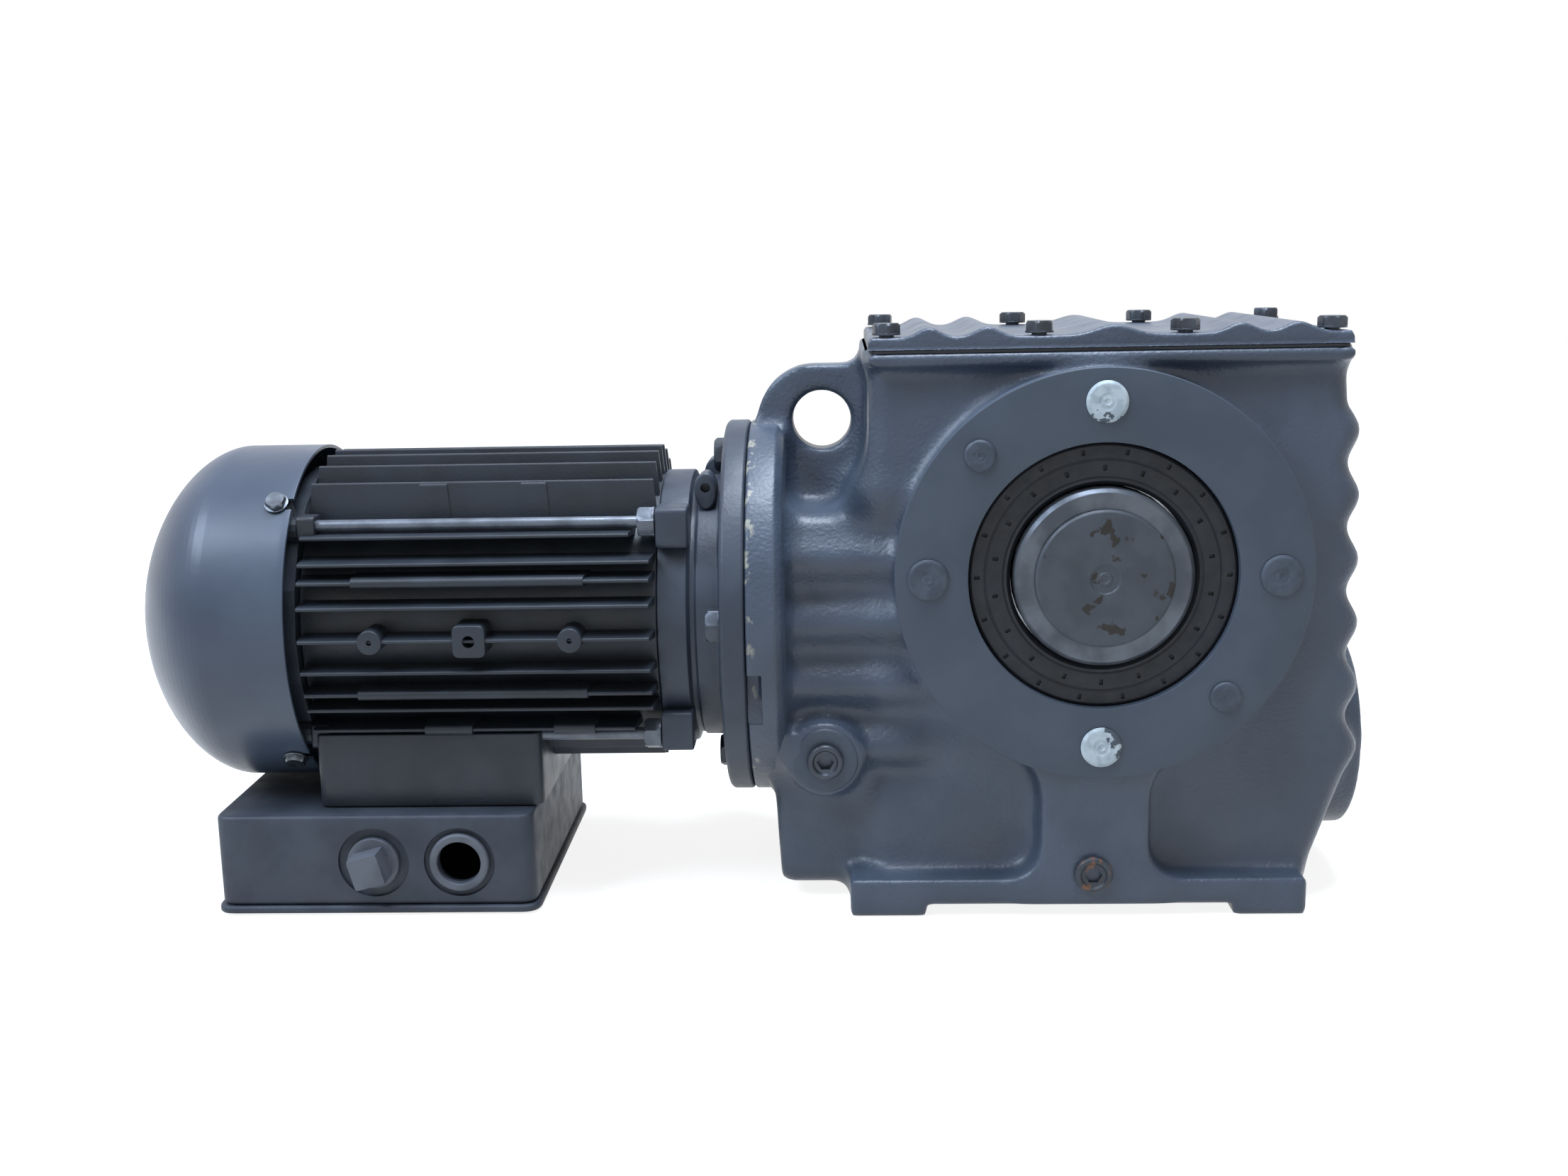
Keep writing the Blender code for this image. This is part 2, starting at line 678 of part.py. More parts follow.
def build_housing():
    housing = solid("gear_housing", body_shape(), frame)
    for side in (-1, 1):
        cut(housing, together(panel_shapes(side)))
    join(housing, neck_shape(), foot_shape(), lug_shape())
    flare_low = FLANGE_JOINT + HOUSING_FLANGE
    flare_high = flare_low + NECK_FLARE_LONG
    join(housing, turned([(0, FLANGE_JOINT), (FLANGE_R, FLANGE_JOINT), (FLANGE_R, flare_low),
                          (NECK_HALF_Y + NECK_FLARE, flare_high), (0, flare_high)],
                         steps=FINE, centre=(0, MOTOR_HEIGHT)))
    for side in (-1, 1):
        outer = sorted((side * (BODY_HALF_Y - OVERLAP), side * PAD_FACE_Y))
        join(housing, rod(PAD_R, *outer, "Y", (0, SHAFT_HEIGHT), FINE))
        web = sorted((side * (BODY_HALF_Y - OVERLAP), side * (FOOT_HALF_Y - GAP)))
        join(housing, block((WEB_LEFT + GAP, WEB_RIGHT - GAP), web,
                            (FOOT_THICK - OVERLAP, SHAFT_HEIGHT - PAD_R + WEB_RISE)))
    join(housing, rod(END_BOSS_R, CAVITY_RIGHT + OVERLAP, END_BOSS_X, "X", (0, WORM_HEIGHT), ROUND))
    join(housing, rod(LEVEL_BOSS_R, -LEVEL_BOSS_Y, -NECK_HALF_Y + 2 * OVERLAP, "Y",
                      (LEVEL_X, LEVEL_HEIGHT), ROUND))
    cut(housing, cavity_shape())
    seat_r = WORM_BEARING_R + BEARING_BOSS_WALL
    bearing_end = BODY_LEFT + OVERLAP + WORM_BEARING_WIDE
    join(housing, rod(seat_r, BODY_LEFT + OVERLAP, bearing_end, "X", (0, WORM_HEIGHT), ROUND))
    join(housing, rod(seat_r, CAVITY_RIGHT - BEARING_BOSS_WALL, CAVITY_RIGHT + 2 * OVERLAP, "X",
                      (0, WORM_HEIGHT), ROUND))
    gear_room = GEAR_PITCH_R + HELICAL_MODULE + GEAR_ROOM
    wall = BODY_LEFT - BEARING_BOSS_WALL
    cut(housing, rod(gear_room, CHAMBER_LEFT, wall, "X", (0, WORM_HEIGHT), ROUND))
    cut(housing, rod(SPIGOT_R - BEARING_BOSS_WALL, FLANGE_JOINT - OVERLAP, wall, "X",
                     (0, MOTOR_HEIGHT), ROUND))
    cut(housing, rod(SPIGOT_R + GAP, FLANGE_JOINT - OVERLAP, FLANGE_JOINT + SPIGOT_LONG + GAP, "X",
                     (0, MOTOR_HEIGHT), FINE))
    cut(housing, rod(WORM_BEARING_R + GAP, wall - OVERLAP,
                     bearing_end + OVERLAP, "X", (0, WORM_HEIGHT), ROUND))
    cut(housing, rod(WORM_BEARING_R + GAP, CAVITY_RIGHT - BEARING_BOSS_WALL - OVERLAP,
                     END_BOSS_X + OVERLAP, "X", (0, WORM_HEIGHT), ROUND))
    for side in (-1, 1):
        through = sorted((side * (CAVITY_HALF_Y - OVERLAP), side * (PAD_FACE_Y + OVERLAP)))
        cut(housing, rod(OUTPUT_BEARING_R + GAP, *through, "Y", (0, SHAFT_HEIGHT), FINE))
        seal_low = PAD_FACE_Y - SEAL_RECESS - SEAL_WIDE - GAP
        wide = sorted((side * seal_low, side * (PAD_FACE_Y + OVERLAP)))
        cut(housing, rod(SEAL_R + GAP, *wide, "Y", (0, SHAFT_HEIGHT), FINE))
        cut(housing, pad_holes(side))
    cut(housing, rod(LUG_HOLE_R, -LUG_THICK, LUG_THICK, "Y", (LUG_X, LUG_HEIGHT), LUG_HOLE_STEPS))
    cut(housing, foot_holes(), cover_holes())
    cut(housing, flange_holes(FLANGE_JOINT - OVERLAP, FLANGE_JOINT + HOUSING_FLANGE - OVERLAP,
                              FLANGE_BOLT_R + GAP))
    cut(housing, block((FLANGE_JOINT - OVERLAP, FLANGE_JOINT + SLOT_WIDE),
                       (-FLANGE_R - OVERLAP, -FLANGE_R + SLOT_DEEP), (SLOT_LOW, SLOT_HIGH)))
    cut(housing, rod(LEVEL_PLUG_R - PLUG_SEAT, -LEVEL_BOSS_Y - OVERLAP, -LEVEL_BOSS_Y + PLUG_DEEP + OVERLAP,
                     "Y", (LEVEL_X, LEVEL_HEIGHT), ROUND))
    cut(housing, rod(DRAIN_PLUG_R - PLUG_SEAT, -FOOT_HALF_Y - OVERLAP, -FOOT_HALF_Y + PLUG_DEEP + OVERLAP,
                     "Y", (DRAIN_X, DRAIN_HEIGHT), ROUND))


def build_cover():
    gasket_low = BODY_TOP + GAP
    outline = rounded((BODY_LEFT + GASKET_IN, BODY_TOP_RIGHT - GASKET_IN),
                      (-BODY_HALF_Y + GASKET_IN, BODY_HALF_Y - GASKET_IN), GASKET_CORNER)
    inner = rounded((CAVITY_LEFT, CAVITY_RIGHT), (-CAVITY_HALF_Y, CAVITY_HALF_Y), GASKET_CORNER)
    gasket_high = gasket_low + GASKET_THICK
    gasket = solid("cover_gasket", prism(outline, gasket_low, gasket_high, "Z"), frame, RUBBER, 0.8)
    cut(gasket, prism(inner, gasket_low - OVERLAP, gasket_high + OVERLAP, "Z"))
    holes = [rod(BOLT_R + GAP, gasket_low - OVERLAP, gasket_high + OVERLAP, "Z",
                 (x, side * BOLT_Y), SMALL)
             for x in BOLT_XS for side in (-1, 1)]
    cut(gasket, together(holes))
    low = gasket_high + GAP
    top = low + COVER_THICK
    profile = [(BODY_LEFT, low), (BODY_TOP_RIGHT, low), (BODY_TOP_RIGHT, top)]
    for start, end in reversed(COVER_HUMPS):
        for step in range(9):
            share = step / 8
            rise = COVER_HUMP * math.sin(math.pi * share) ** 0.7
            profile.append((end + (start - end) * share, top + rise))
    profile.append((BODY_LEFT, top))
    cover = solid("top_cover", prism(profile, -BODY_HALF_Y + COVER_IN, BODY_HALF_Y - COVER_IN), frame)
    holes = [rod(BOLT_R + GAP, low - OVERLAP, top + COVER_HUMP + OVERLAP, "Z", (x, side * BOLT_Y), SMALL)
             for x in BOLT_XS for side in (-1, 1)]
    cut(cover, together(holes))
    head_low = top + GAP
    places = [(x, side * BOLT_Y) for side in (-1, 1) for x in BOLT_XS]
    for number, place in enumerate(places, 1):
        shank_low = head_low - BOLT_LENGTH
        bolt = [(0, shank_low), (BOLT_R, shank_low), (BOLT_R, head_low), (BOLT_FLATS / 2, head_low, 6),
                (BOLT_FLATS / 2, head_low + BOLT_HEAD, 6), (0, head_low + BOLT_HEAD)]
        solid(f"cover_bolt_{number}", turned(bolt, "Z", SMALL, place), frame, DARK_STEEL, 0.4, 0.8)


def build_output_side():
    seal_out = PAD_FACE_Y - SEAL_RECESS
    seal_in = seal_out - SEAL_WIDE
    bearing_out = seal_in - GAP
    bearing_in = bearing_out - OUTPUT_BEARING_WIDE
    for side, end in ((-1, "front"), (1, "rear")):
        span = sorted((side * seal_in, side * seal_out))
        solid(f"output_seal_{end}", ring(HUB_R + RUN, SEAL_R, *span, "Y", (0, SHAFT_HEIGHT), FINE),
              frame, RUBBER, 0.6)
        span = sorted((side * bearing_in, side * bearing_out))
        solid(f"output_bearing_{end}",
              ring(HUB_R + GAP, OUTPUT_BEARING_R, *span, "Y", (0, SHAFT_HEIGHT), FINE), frame, STEEL, 0.3, 1)
    caps = [("large", LARGE_CAP_R, angle) for angle in LARGE_CAP_ANGLES]
    caps += [("small", SMALL_CAP_R, angle) for angle in SMALL_CAP_ANGLES]
    counts = {"large": 0, "small": 0}
    white = {("large", 90), ("large", 270)}
    for size, radius, angle in caps:
        counts[size] += 1
        x, up = on_circle(CAP_CIRCLE_R, angle)
        face = -PAD_FACE_Y - GAP
        profile = [(0, face - CAP_THICK), (radius - CAP_BEVEL, face - CAP_THICK), (radius, face - CAP_BEVEL),
                   (radius, face), (PAD_HOLE_R - GAP, face), (PAD_HOLE_R - GAP, face + PLUG_DEEP),
                   (0, face + PLUG_DEEP)]
        colour = WHITE_PLASTIC if (size, angle) in white else GREY_PLASTIC
        solid(f"pad_cap_{size}_{counts[size]}", turned(profile, "Y", SMALL, (x, SHAFT_HEIGHT + up)),
              frame, colour, 0.5)


def build_output_shaft():
    profile = [(SHAFT_BORE_R, -HUB_END_Y), (HUB_R - HUB_BEVEL, -HUB_END_Y), (HUB_R, -HUB_END_Y + HUB_BEVEL),
               (HUB_R, HUB_END_Y - HUB_BEVEL), (HUB_R - HUB_BEVEL, HUB_END_Y), (SHAFT_BORE_R, HUB_END_Y)]
    shaft = solid("hollow_shaft", turned(profile, "Y", FINE), output_axis, STEEL, 0.35, 1)
    keyway = block((-KEYWAY_WIDE / 2, KEYWAY_WIDE / 2), (-HUB_END_Y - OVERLAP, HUB_END_Y + OVERLAP),
                   (0, SHAFT_BORE_R + KEYWAY_DEEP))
    cut(shaft, keyway)
    for side, end in ((-1, "front"), (1, "rear")):
        face = side * (HUB_END_Y + GAP)
        outer = side * (HUB_END_Y + GAP + BORE_CAP_THICK)
        deep = side * (HUB_END_Y - PLUG_DEEP)
        profile = [(0, outer), (BORE_CAP_R - CAP_BEVEL, outer), (BORE_CAP_R, outer - side * CAP_BEVEL),
                   (BORE_CAP_R, face), (SHAFT_BORE_R - GAP, face), (SHAFT_BORE_R - GAP, deep), (0, deep)]
        solid(f"bore_cap_{end}", turned(profile, "Y", ROUND), output_axis, GREY_PLASTIC, 0.5)
    tip = WHEEL_PITCH_R + WORM_MODULE
    root = WHEEL_PITCH_R - 1.2 * WORM_MODULE
    outline = gear_outline(WHEEL_TEETH, WHEEL_PITCH_R, PRESSURE, tip, root, 3)
    lead_angle = math.atan(WORM_MODULE * WORM_STARTS / (2 * WORM_PITCH_R))
    # Seen along +Y the outline runs from +X to +Z, against the sense of a turn about +Y.
    twist = -WHEEL_WIDTH * math.tan(lead_angle) / WHEEL_PITCH_R
    start = -math.pi / 2 + math.pi / WHEEL_TEETH
    shape = twisted(outline, -WHEEL_WIDTH / 2, WHEEL_WIDTH / 2, twist, 2, start, "Y")
    wheel = solid("worm_wheel", shape, output_axis, BRONZE, 0.35, 1)
    cut(wheel, rod(HUB_R + GAP, -WHEEL_WIDTH, WHEEL_WIDTH, "Y", steps=FINE))


# The worm's cross-section as (angle, radius) points, and its lead.
def worm_points():
    axial_pitch = math.pi * WORM_MODULE
    lead = axial_pitch * WORM_STARTS
    tip = WORM_PITCH_R + WORM_MODULE
    root = WORM_PITCH_R - 1.2 * WORM_MODULE
    flank = []
    for step in range(4):
        radius = root + (tip - root) * step / 3
        half = axial_pitch / 4 - PLAY / 2 - (radius - WORM_PITCH_R) * math.tan(PRESSURE)
        flank.append((2 * math.pi * half / lead, radius))
    outline = []
    for thread in range(WORM_STARTS):
        middle = 2 * math.pi * thread / WORM_STARTS
        outline += [(middle - half, radius) for half, radius in flank]
        outline.append((middle, tip))
        outline += [(middle + half, radius) for half, radius in reversed(flank)]
        outline.append((middle + math.pi / WORM_STARTS, root))
    return outline, lead


def build_worm_shaft():
    outline, lead = worm_points()
    half = WORM_LENGTH / 2
    twist = 2 * math.pi * WORM_LENGTH / lead
    slices = math.ceil(12 * WORM_LENGTH / lead)
    shape = twisted(outline, -half, half, twist, slices, math.pi / 2)
    shaft = solid("worm_shaft", shape, worm_axis, STEEL, 0.3, 1)
    seat = WORM_SHAFT_R
    core = WORM_PITCH_R - 1.2 * WORM_MODULE - NECK_IN
    left = BODY_LEFT - BEARING_BOSS_WALL - HELICAL_WIDTH - SEAT_IN - END_CAP_IN
    inner = BODY_LEFT + OVERLAP + WORM_BEARING_WIDE - SEAT_IN
    outer = CAVITY_RIGHT - BEARING_BOSS_WALL + OVERLAP
    right = CAVITY_RIGHT + WORM_BEARING_WIDE - SEAT_IN - OVERLAP
    profile = [(0, left), (seat, left), (seat, inner), (core, inner), (core, outer), (seat, outer),
               (seat, right), (0, right)]
    join(shaft, turned(profile, steps=ROUND))
    for end, low in (("input", inner - GAP - WORM_BEARING_WIDE), ("end", outer + GAP)):
        solid(f"worm_bearing_{end}",
              ring(seat + GAP, WORM_BEARING_R, low, low + WORM_BEARING_WIDE, centre=(0, WORM_HEIGHT)),
              frame, STEEL, 0.3, 1)
    cap_high = END_BOSS_X - END_CAP_IN
    cap_low = cap_high - END_CAP_WIDE
    cap = solid("worm_end_cap", rod(WORM_BEARING_R, cap_low, cap_high, centre=(0, WORM_HEIGHT)), frame)
    hole_r = BREATHER_R - PLUG_SEAT
    cut(cap, rod(hole_r + GAP, cap_low - OVERLAP, END_BOSS_X, centre=(0, WORM_HEIGHT), steps=SMALL))
    face = cap_high + GAP
    top = face + BREATHER_HEAD
    profile = [(0, cap_low), (hole_r, cap_low), (hole_r, face), (BREATHER_FLATS / 2, face, 6),
               (BREATHER_FLATS / 2, top, 6), (BREATHER_TIP_R, top), (BREATHER_TIP_R, RIGHT_END),
               (0, RIGHT_END)]
    solid("breather_valve", turned(profile, steps=ROUND, centre=(0, WORM_HEIGHT)), frame, BRASS, 0.35, 1)


def helical_room():
    right = BODY_LEFT - BEARING_BOSS_WALL - GEAR_ROOM * 2
    return right - HELICAL_WIDTH, right


def build_helical_gear():
    low, high = helical_room()
    pressure = math.atan(math.tan(PRESSURE) / math.cos(HELIX))
    tip = GEAR_PITCH_R + 0.8 * HELICAL_MODULE
    root = GEAR_PITCH_R - HELICAL_MODULE
    outline = gear_outline(GEAR_TEETH, GEAR_PITCH_R, pressure, tip, root, 2)
    twist = HELICAL_WIDTH * math.tan(HELIX) / GEAR_PITCH_R
    shape = twisted(outline, low, high, twist, 2, math.pi / 2)
    gear = solid("helical_gear", shape, worm_axis, STEEL, 0.3, 1)
    cut(gear, rod(WORM_SHAFT_R + GAP, low - OVERLAP, high + OVERLAP, steps=ROUND))


# Ends of the rear bearing's pocket, which stands out behind the rear endshield.
def rear_pocket():
    left = FRAME_BACK - GAP - REAR_SHIELD_THICK - REAR_POCKET_OUT
    return left, left + REAR_BEARING_WIDE + 2 * GAP


def build_rotor():
    low, high = helical_room()
    pressure = math.atan(math.tan(PRESSURE) / math.cos(HELIX))
    tip = PINION_PITCH_R + 0.8 * HELICAL_MODULE
    root = PINION_PITCH_R - HELICAL_MODULE
    outline = gear_outline(PINION_TEETH, PINION_PITCH_R, pressure, tip, root, 3)
    twist = -HELICAL_WIDTH * math.tan(HELIX) / PINION_PITCH_R
    start = -math.pi / 2 + math.pi / PINION_TEETH
    pinion = twisted(outline, low, high, twist, 4, start)
    shaft = solid("rotor_shaft", pinion, motor_axis, STEEL, 0.3, 1)
    neck_r = root - NECK_IN
    rear_seat = rear_pocket()[1]
    back = FAN_FRONT - FAN_DEEP + OVERLAP
    profile = [(0, back), (REAR_SHAFT_R, back), (REAR_SHAFT_R, rear_seat),
               (MOTOR_SHAFT_R, rear_seat + OVERLAP), (MOTOR_SHAFT_R, FLANGE_JOINT),
               (neck_r, FLANGE_JOINT + 2 * OVERLAP), (neck_r, low + OVERLAP), (0, low + OVERLAP)]
    join(shaft, turned(profile, steps=ROUND))
    solid("rotor_core", ring(MOTOR_SHAFT_R + GAP, CORE_BORE_R - AIR_GAP, CORE_LEFT + 1, CORE_RIGHT),
          motor_axis, STEEL, 0.5, 1)


def build_front_endshield():
    inner = FRAME_FRONT - SPIGOT_IN
    bearing_left = FRONT_BEARING_X - GAP
    bearing_right = bearing_left + FRONT_BEARING_WIDE + 2 * GAP
    seal_right = bearing_right + OIL_SEAL_WIDE + GAP
    outer_right = FLANGE_JOINT + SPIGOT_LONG
    step_x = FRAME_FRONT + GAP
    groove_r = ENDSHIELD_R - GROOVE_DEEP
    profile = [(FRONT_BEARING_R + GAP, bearing_left), (FRONT_BEARING_R + GAP, bearing_right),
               (OIL_SEAL_R + GAP, bearing_right), (OIL_SEAL_R + GAP, seal_right),
               (MOTOR_SHAFT_R + RUN, seal_right), (MOTOR_SHAFT_R + RUN, outer_right),
               (SPIGOT_R, outer_right), (SPIGOT_R, FLANGE_JOINT - GAP), (FLANGE_R, FLANGE_JOINT - GAP),
               (FLANGE_R, OUTER_FACE), (INNER_RING_R, OUTER_FACE), (INNER_RING_R, RING_TWO_X),
               (groove_r, RING_TWO_X), (groove_r, RING_ONE_X), (ENDSHIELD_R, RING_ONE_X),
               (ENDSHIELD_R, step_x), (FRAME_BORE_R - GAP, step_x), (FRAME_BORE_R - GAP, inner),
               (FRAME_BORE_R - SPIGOT_WALL, inner), (FRAME_BORE_R - SPIGOT_WALL, FRAME_FRONT + DISH),
               (FRONT_BEARING_R + SPIGOT_WALL, bearing_left + DISH / 2),
               (FRONT_BEARING_R + SPIGOT_WALL, bearing_left)]
    shield = solid("front_endshield", turned(profile, steps=FINE, centre=(0, MOTOR_HEIGHT)), frame,
                   DARK_PAINT)
    half = LUG_BLOCK / 2
    for across in (-1, 1):
        for up in (-1, 1):
            y = across * TIE_ROD_Y
            z = MOTOR_HEIGHT + up * TIE_ROD_Z
            reach = sorted((y - across * (half + LUG_BLOCK_IN), y + across * half))
            rise = sorted((z - up * (half + LUG_BLOCK_IN), z + up * half))
            join(shield, block((step_x, RING_ONE_X), reach, rise))
    rods = [rod(TIE_ROD_R + GAP, step_x - OVERLAP, RING_ONE_X - OVERLAP, "X",
                (across * TIE_ROD_Y, MOTOR_HEIGHT + up * TIE_ROD_Z), SMALL)
            for across in (-1, 1) for up in (-1, 1)]
    cut(shield, together(rods))
    cut(shield, flange_holes(OUTER_FACE - OVERLAP, FLANGE_JOINT + OVERLAP, FLANGE_BOLT_R + GAP))
    for number, (y, up) in enumerate(flange_bolt_places(), 1):
        head = OUTER_FACE - GAP
        profile = [(0, head - FLANGE_BOLT_HEAD), (FLANGE_BOLT_FLATS / 2, head - FLANGE_BOLT_HEAD, 6),
                   (FLANGE_BOLT_FLATS / 2, head, 6), (FLANGE_BOLT_R, head),
                   (FLANGE_BOLT_R, head + FLANGE_BOLT_LENGTH), (0, head + FLANGE_BOLT_LENGTH)]
        bolt = turned(profile, "X", SMALL, (y, MOTOR_HEIGHT + up))
        solid(f"flange_bolt_{number}", bolt, frame, DARK_STEEL, 0.4, 0.8)
    solid("motor_bearing_front",
          ring(MOTOR_SHAFT_R + GAP, FRONT_BEARING_R, bearing_left + GAP,
               bearing_left + GAP + FRONT_BEARING_WIDE, centre=(0, MOTOR_HEIGHT)), frame, STEEL, 0.3, 1)
    solid("motor_oil_seal",
          ring(MOTOR_SHAFT_R + GAP, OIL_SEAL_R, bearing_right, bearing_right + OIL_SEAL_WIDE,
               centre=(0, MOTOR_HEIGHT)), frame, RUBBER, 0.6)


# Outline of the motor frame across its length, as (y, z) about the motor axis.
def finned_outline():
    fins = []
    for offset in SIDE_FINS:
        fins.append((0, offset, FIN_TIP_R))
        fins.append((180, offset, FIN_TIP_R))
    for offset in END_FINS:
        fins.append((90, offset, FIN_TIP_R))
        fins.append((270, offset, FIN_TIP_R - BOTTOM_FIN_DROP))
    outline = []
    for facing, offset, tip in fins:
        edges = []
        for side in (-1, 1):
            edge = offset + side * FIN_HALF
            edges.append((math.sqrt(FRAME_ROOT_R ** 2 - edge ** 2), edge))
            edges.append((math.sqrt(tip ** 2 - edge ** 2), edge))
        spots = [edges[0], edges[1], edges[3], edges[2]]
        turn = math.radians(facing)
        rotated = [(a * math.cos(turn) - b * math.sin(turn), a * math.sin(turn) + b * math.cos(turn))
                   for a, b in spots]
        middle = math.atan2(sum(b for a, b in rotated), sum(a for a, b in rotated)) % (2 * math.pi)
        outline.append((middle, rotated))
    outline.sort()
    return [spot for middle, spots in outline for spot in spots]


def build_motor_frame():
    outline = [(y, MOTOR_HEIGHT + up) for y, up in finned_outline()]
    body = solid("stator_housing", prism(outline, FRAME_BACK, FRAME_FRONT, "X"), frame, DARK_PAINT)
    join(body, block((PEDESTAL_LEFT, PEDESTAL_RIGHT), (-PEDESTAL_HALF_Y, PEDESTAL_HALF_Y),
                     (BOX_TOP + GAP, PEDESTAL_TOP)))
    for side in (-1, 1):
        for x, radius, corners in FIN_BOSSES:
            turn = math.pi / corners
            reach_r = radius / math.cos(turn)
            angles = [2 * math.pi * step / corners + turn for step in range(corners)]
            outline = [(x + reach_r * math.cos(angle), MOTOR_HEIGHT + reach_r * math.sin(angle))
                       for angle in angles]
            reach = sorted((side * (FRAME_ROOT_R - OVERLAP), side * (FIN_TIP_R + BOSS_OUT)))
            join(body, prism(outline, *reach))
    cut(body, rod(FRAME_BORE_R, FRAME_BACK - OVERLAP, FRAME_FRONT + OVERLAP, "X", (0, MOTOR_HEIGHT), FINE))
    corners = []
    for across in (-1, 1):
        for up in (-1, 1):
            y = sorted((across * (TIE_ROD_Y - TIE_ROD_POCKET), across * (TIE_ROD_Y + TIE_ROD_POCKET_Y)))
            z = sorted((MOTOR_HEIGHT + up * (TIE_ROD_Z - TIE_ROD_POCKET),
                        MOTOR_HEIGHT + up * (TIE_ROD_Z + TIE_ROD_POCKET_Z)))
            corners.append(block((FRAME_FRONT - TIE_ROD_NUT_LONG - 1, FRAME_FRONT + OVERLAP), y, z))
    cut(body, together(corners))
    channels = [rod(TIE_ROD_R + RUN, FRAME_BACK - OVERLAP, FRAME_FRONT + OVERLAP, "X",
                    (across * TIE_ROD_Y, MOTOR_HEIGHT + up * TIE_ROD_Z), SMALL)
                for across in (-1, 1) for up in (-1, 1)]
    cut(body, together(channels))
    middle = (PEDESTAL_LEFT + PEDESTAL_RIGHT) / 2
    cut(body, rod(LEAD_HOLE_R, BOX_TOP - OVERLAP, MOTOR_HEIGHT, "Z", (middle, 0), SMALL))
    inner = CORE_BORE_R + WINDING_WALL
    outer = FRAME_BORE_R - SPIGOT_WALL
    left = CORE_LEFT - WINDING_LONG
    right = CORE_RIGHT + WINDING_LONG
    profile = [(CORE_BORE_R, CORE_LEFT), (inner, CORE_LEFT), (inner, left), (outer, left),
               (outer, CORE_LEFT), (FRAME_BORE_R - GAP, CORE_LEFT), (FRAME_BORE_R - GAP, CORE_RIGHT),
               (outer, CORE_RIGHT), (outer, right), (inner, right), (inner, CORE_RIGHT),
               (CORE_BORE_R, CORE_RIGHT)]
    solid("stator_core", turned(profile, steps=ROUND, centre=(0, MOTOR_HEIGHT)), frame, COPPER, 0.5, 1)


# A block that stands out from the motor axis at an angle, used for screw seats and slots.
def radial_block(x_range, wide, low_r, high_r, degrees):
    shape = block(x_range, (low_r, high_r), (-wide / 2, wide / 2))
    return moved(turned_about_x(shape, degrees), (0, 0, MOTOR_HEIGHT))


def cowl_screw_angles():
    return [COWL_SCREW_ANGLE, 180 - COWL_SCREW_ANGLE, 180 + COWL_SCREW_ANGLE, 360 - COWL_SCREW_ANGLE]


def build_rear_endshield():
    face = FRAME_BACK - GAP
    seat = REAR_BEARING_R + GAP
    back = face - REAR_SHIELD_THICK
    pocket_left, pocket_right = rear_pocket()
    outer = seat + REAR_POCKET_OUT
    spigot = FRAME_BORE_R - SPIGOT_WALL
    profile = [(REAR_SHAFT_R + RUN, pocket_left - OVERLAP), (REAR_SHAFT_R + RUN, pocket_left),
               (seat, pocket_left), (seat, pocket_right), (outer, pocket_right), (outer, face),
               (spigot, face), (spigot, face + REAR_SPIGOT_IN), (FRAME_BORE_R - GAP, face + REAR_SPIGOT_IN),
               (FRAME_BORE_R - GAP, face), (REAR_SHIELD_R, face), (REAR_SHIELD_R, back),
               (outer, back), (outer, pocket_left - OVERLAP)]
    shield = solid("rear_endshield", turned(profile, steps=ROUND, centre=(0, MOTOR_HEIGHT)), frame,
                   DARK_PAINT)
    for across in (-1, 1):
        for up in (-1, 1):
            place = (across * (TIE_ROD_Y - TIE_ROD_SEAT), MOTOR_HEIGHT + up * (TIE_ROD_Z - TIE_ROD_SEAT))
            join(shield, rod(TIE_ROD_SEAT_R, back, face, "X", place, SMALL))
    rods = [rod(TIE_ROD_R + GAP, back + 1, face + OVERLAP, "X",
                (across * TIE_ROD_Y, MOTOR_HEIGHT + up * TIE_ROD_Z), SMALL)
            for across in (-1, 1) for up in (-1, 1)]
    inside_r = COWL_R - COWL_WALL - COWL_ROOM
    for degrees in cowl_screw_angles():
        join(shield, radial_block((COWL_SCREW_X - SCREW_SEAT_LEFT, COWL_SCREW_X + SCREW_SEAT_RIGHT),
                                  SCREW_SEAT_WIDE, REAR_SHIELD_R - SCREW_DEEP, inside_r, degrees))
    cut(shield, together(rods))
    screws = [radial_screw(COWL_SCREW_R + GAP, COWL_SCREW_R + GAP, inside_r - SCREW_SEAT_WIDE, degrees)
              for degrees in cowl_screw_angles()]
    cut(shield, together(screws))
    for number, (across, up) in enumerate(((-1, 1), (-1, -1), (1, 1), (1, -1)), 1):
        nut_low = FRAME_FRONT - TIE_ROD_NUT_LONG - GAP
        nut_high = FRAME_FRONT - GAP / 2
        profile = [(0, back + 1 + GAP), (TIE_ROD_R, back + 1 + GAP), (TIE_ROD_R, nut_low),
                   (TIE_ROD_NUT / 2, nut_low, 6), (TIE_ROD_NUT / 2, nut_high, 6), (TIE_ROD_R, nut_high),
                   (TIE_ROD_R, RING_ONE_X - OVERLAP - GAP), (0, RING_ONE_X - OVERLAP - GAP)]
        place = (across * TIE_ROD_Y, MOTOR_HEIGHT + up * TIE_ROD_Z)
        solid(f"tie_rod_{number}", turned(profile, "X", SMALL, place), frame, STEEL, 0.4, 1)
    bearing = ring(REAR_SHAFT_R + GAP, REAR_BEARING_R, pocket_left + GAP, pocket_right - GAP,
                   centre=(0, MOTOR_HEIGHT))
    solid("motor_bearing_rear", bearing, frame, STEEL, 0.3, 1)


